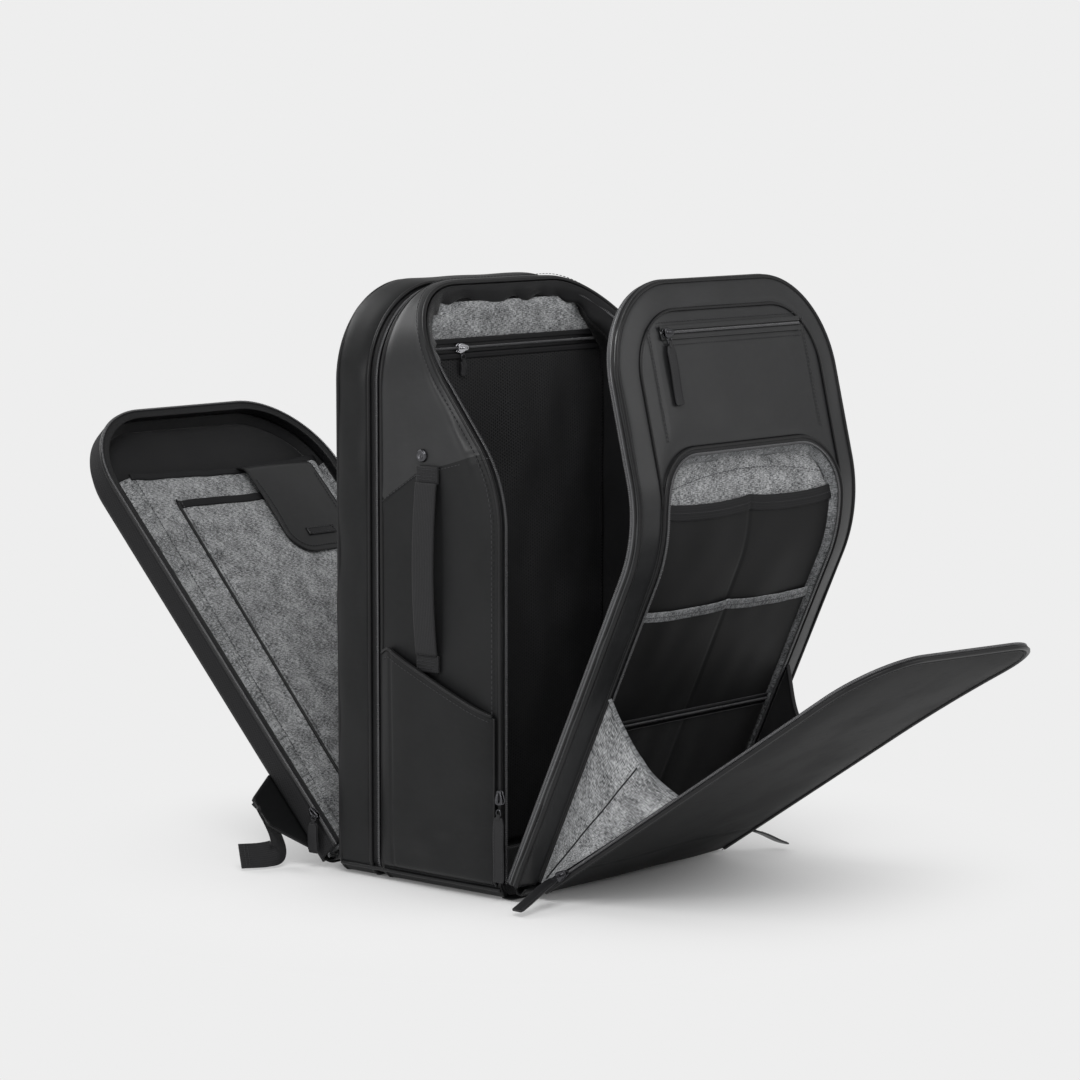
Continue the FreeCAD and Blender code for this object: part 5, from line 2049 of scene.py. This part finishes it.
@dataclass
class Harness:
    """Back pads, shoulder straps, yoke, luggage band, lower webbing and top handle.

    Args:
        panel: offset of the back panel's face.
        strap_low: height of the shoulder straps' lower ends.
        strap_high: height at which they meet the yoke.
    """

    panel: float = 29.4
    strap_low: float = 178.0
    strap_high: float = 482.0
    body: str = "back_lid"

    def build(self) -> None:
        """Make both sides of the harness and the shared pieces."""
        for side in (-1.0, 1.0):
            self.pad(side)
            self.strap(side)
            self.wing(side)
            self.tail(side)
        self.yoke()
        self.luggage_band()
        self.top_handle()

    def pad(self, side: float) -> None:
        """A back pad: a filled block with two quilted furrows, under a bound edge."""
        word = "Left" if side < 0 else "Right"
        t = np.linspace(0.0, 1.0, 64)[:, None]
        u = np.linspace(0.0, 1.0, 20)[None, :]
        z = 60.0 + 408.0 * t + 0 * u
        pinch = 10.0 * (np.abs(2 * t - 1) ** 8)
        x0, x1 = 20.0 + pinch, 108.0 - pinch
        x = x0 + (x1 - x0) * u
        grow = crown(u, 6.0) ** 0.5 * crown(t, 20.0) ** 0.5
        furrow = 3.2 * (np.exp(-((z - 190.0) / 7.0) ** 2) + np.exp(-((z - 345.0) / 7.0) ** 2))
        high = self.panel + 1.4 + (8.4 - furrow) * grow
        block = pad_block("BackPad" + word, rear_point(side * x, z, high),
                          rear_point(side * x, z, self.panel + 0.3 + 0 * x), SPACER)
        puffed(block, 3.0, 2.0)
        attach(block, self.body, "back_pad_" + word.lower())
        ring = np.array([[22, 62], [106, 62], [106, 466], [22, 466], [22, 62]], float)
        path = resample(rear_point(side * ring[:, 0], ring[:, 1], self.panel + 1.0), 3.0)
        attach(piping("BackPadEdge" + word, path, REAR, Seat.BACK, PIPING, 1.8), self.body)

    def strap(self, side: float) -> None:
        """A shoulder strap: a long curved pad, thinner at its ends, bound along both edges."""
        word = "Left" if side < 0 else "Right"
        t = np.linspace(0.0, 1.0, 90)[:, None]
        u = np.linspace(-1.0, 1.0, 18)[None, :]
        z = self.strap_low + (self.strap_high - 8.0 - self.strap_low) * t
        mid = 70.0 + 5.0 * np.sin(math.pi * t)
        half = 27.0 - 7.0 * np.exp(-(t / 0.10) ** 2)
        x = mid + half * u
        thick = 9.0 * (1 - np.abs(u) ** 6) ** 0.5 * (1 - np.abs(2 * t - 1) ** 16) ** 0.5
        flat = np.stack([x, 0 * x, z + 0 * x], -1)
        high = 47.6 + thick + 0.4 * ripple(flat, 60.0, 201)
        block = pad_block("ShoulderStrap" + word, rear_point(side * x, z + 0 * x, high),
                          rear_point(side * x, z + 0 * x, 47.2 + 0 * x), SPACER)
        puffed(block, 3.0, 2.0)
        name = "shoulder_strap_" + word.lower()
        attach(block, name, name)
        for edge in (-1.0, 1.0):
            line = rear_point(side * (mid + half * edge)[:, 0], z[:, 0], 50.6)
            attach(piping("StrapEdge%s%s" % (word, "Inner" if edge < 0 else "Outer"), line, REAR,
                          Seat.BACK, PIPING, 1.9), name)
        line = rear_point(side * mid[4:-4, 0], z[4:-4, 0], 58.4)
        attach(sweep("StrapWebbing" + word, line, REAR, flat_section(20.0, 1.8, 20), WEBBING,
                     Seat.BACK), name)
        for zz in (260.0, 335.0, 410.0):
            k = (zz - self.strap_low) / (self.strap_high - 8 - self.strap_low)
            c = 70.0 + 5.0 * math.sin(math.pi * k)
            bar = rear_point(side * np.linspace(c - 8, c + 8, 12), np.full(12, zz), 59.5)
            attach(stitches("StrapTack%s%d" % (word, zz), bar, REAR, Seat.BACK, STITCH, 1.6), name)

    def wing(self, side: float) -> None:
        """The wing sewn into the side, its webbing, and the ladder lock at the strap's end."""
        word = "Left" if side < 0 else "Right"
        t = np.linspace(0.0, 1.0, 30)[:, None]
        u = np.linspace(0.0, 1.0, 16)[None, :]
        x = 150.0 + 38.0 * u
        low, high = 40.0 + 36.0 * u, 126.0 - 22.0 * u
        z = low + (high - low) * t
        n = self.panel + 1.6 + 0.8 * np.sin(math.pi * t) * u
        wing = sheet("LowerWing" + word, rear_point(side * x + 0 * z, z, n), 2.2, SHELL, Seat.BACK,
                     out=REAR)
        attach(wing, self.body, "lower_webbing_" + word.lower())
        rim = np.array([[152, 41], [188, 75], [188, 104], [152, 125]], float)
        path = resample(rear_point(side * rim[:, 0], rim[:, 1], self.panel + 0.8), 3.0)
        attach(piping("LowerWingEdge" + word, path, REAR, Seat.BACK, PIPING, 1.5), self.body)
        points = [(186, 90, 32.0), (168, 97, 35.5), (140, 116, 39.0), (104, 142, 45.0), (78, 160, 52.0)]
        path = smooth_path([rear_point(side * x, z, n) for x, z, n in points], 16)
        face = np.broadcast_to(REAR, path.shape)
        web = sweep("LowerWebbing" + word, path, face, flat_section(24.0, 1.9, 22), WEBBING, Seat.BACK)
        ends = Seat.BACK.place(path[[10, -8]])
        bend(web, self.body, "shoulder_strap_" + word.lower(), ends[0], ends[1])
        self.ladder_lock(side)

    def ladder_lock(self, side: float) -> None:
        """The adjuster at the strap's lower end: a rounded frame with two bars."""
        word = "Left" if side < 0 else "Right"
        name = "shoulder_strap_" + word.lower()
        cx, cz = 72.0, 168.0
        a = np.linspace(0, 2 * math.pi, 60, endpoint=False)
        c, s = np.cos(a), np.sin(a)
        x = cx + 17.0 * np.sign(c) * np.abs(c) ** 0.4
        z = cz + 13.0 * np.sign(s) * np.abs(s) ** 0.4
        path = rear_point(side * x, z, 52.5)
        attach(sweep("LadderLock" + word, path, REAR, round_section(2.3, 10, 0.8), RUBBER, Seat.BACK,
                     True), name)
        for k, dz in enumerate((-3.0, 4.0)):
            bar = rear_point(side * np.linspace(cx - 16, cx + 16, 10), np.full(10, cz + dz), 52.5)
            attach(sweep("LadderBar%s%d" % (word, k), bar, REAR, round_section(1.7, 10), RUBBER,
                         Seat.BACK), name)

    def tail(self, side: float) -> None:
        """The free end of the adjusting strap: it hangs to the floor and curls out flat."""
        word = "Left" if side < 0 else "Right"
        name = "strap_tail_" + word.lower()
        points = [(186.0, 172.0, 57.0), (180.0, 167.0, 44.0), (176.0, 160.0, 28.0),
                  (178.0, 156.0, 16.0), (190.0, 161.0, 12.9), (211.0, 172.0, 13.2)]
        path = smooth_path([(side * x, y, z) for x, y, z in points], 16)
        t = np.linspace(0.0, 1.0, len(path))[:, None]
        up = unit(np.array([side * -0.55, -0.75, 0.15]) * (1 - t) + np.array([side * 0.1, -0.85,
                                                                           0.45]) * t)
        attach(sweep("StrapTail" + word, path, up, flat_section(24.0, 1.6, 22), WEBBING), name, name)
        for k in (4, 6):
            along = unit(path[-k] - path[-k - 1])
            across = unit(np.cross(along, up[-k]))
            row = path[-k] + across * np.linspace(-10.0, 10.0, 16)[:, None] + up[-k] * 1.0
            attach(stitches("StrapTailTack%s%d" % (word, k), row, up[-k], Seat.BODY, STITCH, 1.6),
                   name)

    def yoke(self) -> None:
        """The padded yoke that both straps are sewn under."""
        t = np.linspace(0.0, 1.0, 16)[:, None]
        u = np.linspace(-1.0, 1.0, 80)[None, :]
        z = 471.0 + 17.0 * t + 0 * u
        x = 106.0 * u + 0 * t
        n = self.panel + 2.0 + (24.0 - 3.0 * np.abs(u) ** 4) * (1 - np.abs(2 * t - 1) ** 6) ** 0.4 * (
            1 - np.abs(u) ** 30)
        yoke = pad_block("StrapYoke", rear_point(x, z, n), rear_point(x, z, self.panel + 0 * x), SHELL)
        puffed(yoke, 2.0, 1.0)
        attach(yoke, self.body, "strap_yoke")

    def luggage_band(self) -> None:
        """The band that slips over a case's handle: cloth sewn down along both ends."""
        t = np.linspace(0.0, 1.0, 40)[:, None]
        u = np.linspace(-1.0, 1.0, 90)[None, :]
        z = 234.0 + 94.0 * t + 0 * u
        x = 109.0 * u + 0 * t
        flat = np.stack([x, 0 * x, z], -1)
        n = self.panel + 12.6 + 0.6 * ripple(flat, 70.0, 211) * crown(t) - 4.0 * np.abs(u) ** 12
        attach(sheet("LuggageBand", rear_point(x, z, n), 1.6, SHELL, Seat.BACK, out=REAR), self.body,
               "luggage_band")
        for zz in (236.5, 325.5):
            row = rear_point(np.linspace(-104, 104, 90), np.full(90, zz), self.panel + 13.0)
            attach(stitches("LuggageBandStitches%d" % zz, row, REAR, Seat.BACK, STITCH), self.body)

    def top_handle(self) -> None:
        """The carrying handle at the top: folded webbing over a soft core."""
        t = np.linspace(0.0, 1.0, 90)
        x = -58.0 + 116.0 * t
        n = self.panel + 4.2 + 21.0 * np.sin(math.pi * t) ** 0.7
        path = rear_point(x, np.full(90, 508.0), n)
        grow = np.stack([np.ones(90), 1.0 + 0.9 * np.sin(math.pi * t) ** 2], -1)
        handle = sweep("TopHandle", path, np.broadcast_to(REAR + 0.001 * UP, path.shape),
                       flat_section(22.0, 3.0, 28), WEBBING, Seat.BACK, scale=grow)
        attach(handle, "top_handle", "top_handle")
        for sign, word in SIDES:
            for k in range(3):
                xx = sign * (52.0 + 3.4 * k)
                row = rear_point(np.full(14, xx), np.linspace(499.5, 516.5, 14), self.panel + 6.4
                                 + 21.0 * max(math.sin(math.pi * (xx + 58.0) / 116.0), 0.0) ** 0.7)
                attach(stitches("HandleTack%s%d" % (word, k), row, REAR, Seat.BACK, STITCH, 1.6),
                       "top_handle")


# ---------------------------------------------------------- zip hardware ---
@dataclass(frozen=True)
class Spot:
    """Where one slider sits at rest: its place and its three directions.

    Args:
        place: centre in millimetres.
        along: the way it runs on the zip.
        up: the way its face looks.
        seat: the turns that carry it to rest.
    """

    place: tuple[float, float, float]
    along: tuple[float, float, float]
    up: tuple[float, float, float]
    seat: Seat = Seat.BODY

    def carry(self, local: Array) -> Array:
        """Points given along, across and up the slider, carried to its place."""
        along = unit(np.array(self.along, float))
        up = unit(np.array(self.up, float))
        side = np.cross(up, along)
        local = np.asarray(local, float)
        return (np.array(self.place, float) + local[..., 0, None] * along
                + local[..., 1, None] * side + local[..., 2, None] * up)

    def way(self, local: Sequence[float]) -> Array:
        """A direction given along, across and up the slider."""
        return self.carry(np.array(local, float)) - np.array(self.place, float)


@dataclass
class Slider:
    """A zip slider: two shaped plates, a post between them and a bridge on top.

    Args:
        name: its body and frame node.
        spot: where it sits.
        length: length along the zip.
        width: greatest width.
        height: distance between the plates' outer faces.
        metal: its plating.
    """

    name: str
    spot: Spot
    length: float = 10.0
    width: float = 9.0
    height: float = 4.4
    metal: Metal = field(default_factory=lambda: GUNMETAL)

    def plate(self, label: str, low: float, high: float) -> bpy.types.Object:
        """One plate: wide at the shoulders and narrow at the tail, with a rounded edge."""
        t = np.linspace(0.0, 1.0, 28)
        half = self.width / 2 * (0.60 + 0.40 * np.sin(math.pi * np.clip(t * 0.9 + 0.3, 0, 1)))
        half *= (1 - np.abs(2 * t - 1) ** 7) ** 0.5 + 0.05
        x = (t - 0.5) * self.length
        u = np.linspace(-1.0, 1.0, 14)
        bulge = (1 - np.abs(u) ** 6) ** 0.5
        middle, thick = (low + high) / 2, (high - low) / 2
        top = np.stack(np.broadcast_arrays(x[:, None], half[:, None] * u, middle + thick * bulge), -1)
        base = np.stack(np.broadcast_arrays(x[:, None], half[:, None] * u, middle - thick * bulge
                                            + 0 * x[:, None]), -1)
        rows, cols = top.shape[:2]
        ids = np.arange(rows * cols).reshape(rows, cols)
        sides = [np.stack([r[:-1], r[1:], r[1:] + rows * cols, r[:-1] + rows * cols], -1)
                 for r in (ids[:, 0], ids[:, -1], ids[0], ids[-1])]
        faces = np.vstack([grid_faces(rows, cols), grid_faces(rows, cols)[:, ::-1] + rows * cols]
                          + sides)
        verts = np.concatenate([top.reshape(-1, 3), base.reshape(-1, 3)])
        return to_object(self.title() + label, self.spot.carry(verts), faces, None, self.metal,
                         self.spot.seat)

    def title(self) -> str:
        """The slider's name in capitals without breaks."""
        return "".join(word.title() for word in self.name.split("_"))

    def build(self) -> None:
        """Make the slider."""
        h = self.height / 2
        attach(self.plate("TopPlate", h - 1.1, h), self.name, self.name)
        attach(self.plate("LowerPlate", -h, -h + 1.1), self.name)
        post = self.spot.carry(np.array([[self.length * 0.26, 0, -h + 0.5], [self.length * 0.26, 0,
                                                                          h - 0.5]]))
        attach(sweep(self.title() + "Post", post, self.spot.way((1, 0, 0)),
                     round_section(1.3, 10), self.metal, self.spot.seat), self.name)
        a = np.linspace(0.0, math.pi, 22)
        line = np.stack([self.length * 0.34 * np.cos(a), 0 * a, h - 0.3 + 1.9 * np.sin(a) ** 0.8], -1)
        attach(sweep(self.title() + "Bridge", self.spot.carry(line), self.spot.way((0, 1, 0)),
                     flat_section(1.0, 2.0, 10, 0.6), self.metal, self.spot.seat), self.name)


@dataclass
class Pull:
    """A zip pull: a wire ring, a crimped loop of cord cover and a long flat tab.

    Args:
        name: its body and frame node.
        top: the end that hangs on the slider, in millimetres at rest.
        low: the tab's free end at rest.
        face: the way the tab's flat side looks.
        width: width of the tab.
        thick: its thickness.
        double: True for a tab folded from two layers.
        seat: the turns that carry it to rest.
    """

    name: str
    top: Array
    low: Array
    face: Array
    width: float = 9.6
    thick: float = 1.7
    double: bool = False
    seat: Seat = Seat.BODY

    def build(self) -> None:
        """Make the ring, the neck and the tab."""
        title = "".join(word.title() for word in self.name.split("_"))
        way = unit(self.low - self.top)
        face = unit(self.face - way * np.dot(self.face, way))
        side = np.cross(way, face)
        long = np.linalg.norm(self.low - self.top)
        a = np.linspace(0, 2 * math.pi, 40, endpoint=False)
        ring = (self.top + way * 3.8 + 3.3 * np.cos(a)[:, None] * way
                + 2.6 * np.sin(a)[:, None] * side)
        attach(sweep(title + "Ring", ring, face, round_section(0.6, 8), GUNMETAL, self.seat, True),
               self.name)
        neck = self.top + way * np.linspace(4.6, 10.0, 12)[:, None]
        attach(sweep(title + "Neck", neck, face, flat_section(4.6, self.thick + 0.9, 16, 0.5), RUBBER,
                     self.seat), self.name)
        t = np.linspace(0.0, 1.0, 60)
        run = 7.6 + (long - 7.6) * t
        wave = 0.5 * np.sin(t * 5.0) * (1 - t) * t * 4
        line = self.top + way * run[:, None] + face * wave[:, None]
        taper = 0.62 + 0.38 * np.clip(t / 0.12, 0, 1) ** 0.7
        grow = np.stack([taper, 1.0 + 0.0 * t], -1)
        grow[-3:, 0] *= np.array([0.97, 0.92, 0.8])
        section = flat_section(self.width, self.thick, 24, 0.3)
        tab = sweep(title, line, face, section, RUBBER, self.seat, scale=grow)
        attach(tab, self.name, self.name)
        if self.double:
            again = line[:-8] + face * (self.thick * 0.9) + way * 1.0
            attach(sweep(title + "Fold", again, face, section * np.array([0.94, 0.8]), RUBBER,
                         self.seat, scale=grow[:-8]), self.name)
        for edge in (-1.0, 1.0):
            rim = line[8:-4] + side * (edge * self.width * 0.36) + face * (self.thick * 0.5)
            attach(stitches(title + ("StitchesA" if edge < 0 else "StitchesB"), rim, face,
                            self.seat, STITCH, 2.6), self.name)


def centre_of(node: str) -> Array:
    """Centre of a frame node's box at rest, in millimetres."""
    low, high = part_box(node)
    return (np.array(low) + np.array(high)) / 2 / METRE


def reach_of(node: str, axis: int) -> tuple[float, float]:
    """Least and greatest place of a frame node's box along an axis, in millimetres."""
    low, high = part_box(node)
    return low[axis] / METRE, high[axis] / METRE


@dataclass
class Hardware:
    """All zip sliders and their pulls."""

    def build(self) -> None:
        """Make the seven sliders and pulls, all but the upper pocket's at their frame nodes' own places."""
        for side, word in ((-1.0, "left"), (1.0, "right")):
            self.main(side, word)
            self.flap(side, word)
        self.rear()
        self.pocket()
        self.divider()

    def main(self, side: float, word: str) -> None:
        """The front opening's slider and its long pull, low on one side."""
        place = centre_of("main_slider_" + word)
        spot = Spot(tuple(place + np.array([0, 0, 2.0])), (0, 0, 1), (side, 0, 0))
        Slider("main_slider_" + word, spot, *ZIP_SLIDER).build()
        low, high = reach_of("main_pull_" + word, 2)
        x = centre_of("main_pull_" + word)[0] + side * 1.3
        top = np.array([x, place[1], high + 4.0])
        Pull("main_pull_" + word, top, np.array([x, place[1], low]), np.array([side, 0.0, 0.0]),
             12.6).build()

    def flap(self, side: float, word: str) -> None:
        """The organiser zip's slider, and its pull lying out to the side on the floor."""
        place = centre_of("flap_slider_" + word)
        along = Seat.FLAP.place(np.array([0.0, 0, 1.0])) - Seat.FLAP.place(np.zeros(3))
        spot = Spot(tuple(place), tuple(along), (side, 0, 0))
        Slider("flap_slider_" + word, spot, *ZIP_SLIDER).build()
        x0, x1 = sorted(abs(v) for v in reach_of("flap_pull_" + word, 0))
        z0, z1 = reach_of("flap_pull_" + word, 2)
        y = centre_of("flap_pull_" + word)[1]
        top = np.array([side * (x0 + 0.3), y, z1 - 0.4])
        low = np.array([side * (x1 - 0.4), y, z0 + 1.2])
        Pull("flap_pull_" + word, top, low, np.array([0.0, 0.0, 1.0]), 12.6).build()

    def rear(self) -> None:
        """The rear lid's slider with its doubled pull."""
        place = centre_of("back_slider")
        along = Seat.BACK.place(np.array([0.0, 0, 1.0])) - Seat.BACK.place(np.zeros(3))
        Slider("back_slider", Spot(tuple(place), tuple(along), (-1, 0, 0)), *ZIP_SLIDER).build()
        low, high = reach_of("back_pull", 2)
        spot = centre_of("back_pull")
        top = np.array([spot[0], spot[1], high + 2.0])
        Pull("back_pull", top, np.array([spot[0], spot[1], low]), np.array([-1.0, 0.0, 0.0]), 12.0,
             1.5, True).build()

    def pocket(self) -> None:
        """The upper pocket's slider at its left end, and the long pull below it."""
        place = PROFILE.at(-88.0, 524.6, 20.6)
        up = face_of(np.array(-88.0), np.array(524.6))
        spot = Spot(tuple(place), (1, 0, 0), tuple(up), Seat.LID)
        Slider("pocket_slider", spot, 12.0, 8.6, 4.2).build()
        top = PROFILE.at(-88.0, 521.0, 20.8)
        low = PROFILE.at(-88.0, 461.0, 20.0)
        Pull("pocket_pull", top, low, up, 12.0, 1.6, seat=Seat.LID).build()

    def divider(self) -> None:
        """The mesh pocket's bright slider with its ring and short pull."""
        place = centre_of("divider_slider")
        Slider("divider_slider", Spot(tuple(place), (1, 0, 0), (0, -1, 0)), 14.0, 8.6, 4.2,
               metal=BRIGHT).build()
        low, high = reach_of("divider_pull", 2)
        spot = centre_of("divider_pull")
        spot = spot + FRONT * 0.8
        Pull("divider_pull", np.array([spot[0], spot[1], high + 0.6]),
             np.array([spot[0], spot[1], low]), FRONT, 7.6, 1.4).build()


def sub_assemblies() -> list:
    """The sub-assemblies, in sewing order."""
    return [PackBody(), Divider(), BottlePocket(-1.0), BottlePocket(1.0), SideHandle(), FrontLid(),
            Organizer(), OrganizerFlap(), RearLid(), Tongue(), Harness(), Hardware()]


# ------------------------------------------------------------------- scene --
@dataclass
class Studio:
    """Plain floor and world, soft lights and the camera.

    Args:
        backdrop: linear grey of the background.
        eye: camera's place in metres.
        lens: focal length in millimetres.
        target: direction the camera looks, reversed.
    """

    backdrop: float = 0.855
    eye: tuple[float, float, float] = (-2.5676, -2.2021, 0.7029)
    lens: float = 122.8
    back: tuple[float, float, float] = (-0.7554, -0.6446, 0.1181)

    def build(self) -> None:
        """Make the stage."""
        self.floor()
        self.world()
        self.camera()
        self.lights()

    def floor(self) -> None:
        """A wide pale floor that fades into the background with distance from the pack."""
        material = bpy.data.materials.new("PaleFloor")
        material.use_nodes = True
        tree = material.node_tree
        n = Nodes(tree)
        shader = tree.nodes["Principled BSDF"]
        shader.inputs["Base Color"].default_value = (0.93, 0.93, 0.93, 1.0)
        shader.inputs["Roughness"].default_value = 0.6
        shader.inputs["Specular IOR Level"].default_value = 0.2
        place = n.add("TexCoord").outputs["Object"]
        far = n.add("VectorMath", {0: place}, operation="LENGTH").outputs["Value"]
        fade = n.ramp(far, 0.08, 0.5)
        glow = n.add("Emission", {"Color": (self.backdrop,) * 3 + (1.0,), "Strength": 1.0})
        mix = n.add("MixShader", {0: fade, 1: shader.outputs[0], 2: glow.outputs[0]})
        tree.links.new(mix.outputs[0], tree.nodes["Material Output"].inputs[0])
        t = np.linspace(-1.0, 1.0, 41) ** 3 * 60.0
        x, y = np.meshgrid(t, t, indexing="ij")
        verts = np.stack([x, y, 0 * x], -1).reshape(-1, 3)
        mesh = bpy.data.meshes.new("Floor")
        mesh.from_pydata(verts.tolist(), [], grid_faces(41, 41).tolist())
        mesh.materials.append(material)
        obj = bpy.data.objects.new("Floor", mesh)
        bpy.context.scene.collection.objects.link(obj)
        if mesh.polygons[0].normal.z < 0:
            mesh.flip_normals()

    def world(self) -> None:
        """An even grey for the camera, and a softer light for the pieces."""
        world = bpy.data.worlds.new("Studio")
        bpy.context.scene.world = world
        world.use_nodes = True
        tree = world.node_tree
        tree.nodes.clear()
        n = Nodes(tree)
        seen = n.add("Background", {0: (self.backdrop,) * 3 + (1.0,), 1: 1.0})
        light = n.add("Background", {0: (1.0, 1.0, 1.0, 1.0), 1: 0.42})
        path = n.add("LightPath").outputs["Is Camera Ray"]
        mix = n.add("MixShader", {0: path, 1: light.outputs[0], 2: seen.outputs[0]})
        sink = tree.nodes.new("ShaderNodeOutputWorld")
        tree.links.new(mix.outputs[0], sink.inputs[0])

    def camera(self) -> None:
        """The camera, level and turned along its own look direction."""
        data = bpy.data.cameras.new("Camera")
        data.lens, data.sensor_width = self.lens, 36.0
        data.clip_start, data.clip_end = 0.05, 200.0
        obj = bpy.data.objects.new("Camera", data)
        obj.location = self.eye
        obj.rotation_mode = "QUATERNION"
        obj.rotation_quaternion = (-Vector(self.back)).to_track_quat("-Z", "Y")
        bpy.context.scene.collection.objects.link(obj)
        bpy.context.scene.camera = obj

    def lights(self) -> None:
        """Large soft lamps: a key high on the left, a fill in front, a rim behind."""
        table = (("Key", (-1.7, -1.3, 2.7), 1.5, 46.0), ("Fill", (1.3, -2.5, 1.6), 1.6, 16.0),
                 ("Rim", (-0.2, 2.3, 1.9), 1.5, 26.0), ("Strip", (-2.7, 0.8, 0.9), 0.7, 14.0))
        for name, place, size, power in table:
            data = bpy.data.lights.new(name, "AREA")
            data.shape, data.size, data.energy = "SQUARE", size, power
            obj = bpy.data.objects.new(name, data)
            obj.location = place
            aim = Vector((0.0, 0.0, 0.25)) - Vector(place)
            obj.rotation_mode = "QUATERNION"
            obj.rotation_quaternion = aim.to_track_quat("-Z", "Y")
            bpy.context.scene.collection.objects.link(obj)


def main() -> None:
    """Build the pack, piece by piece, and the stage round it."""
    logging.basicConfig(level=logging.INFO, format="%(name)s: %(message)s")
    bpy.context.scene.view_settings.view_transform = "Standard"
    for part in sub_assemblies():
        part.build()
    Studio().build()


if __name__ == "__main__":
    main()
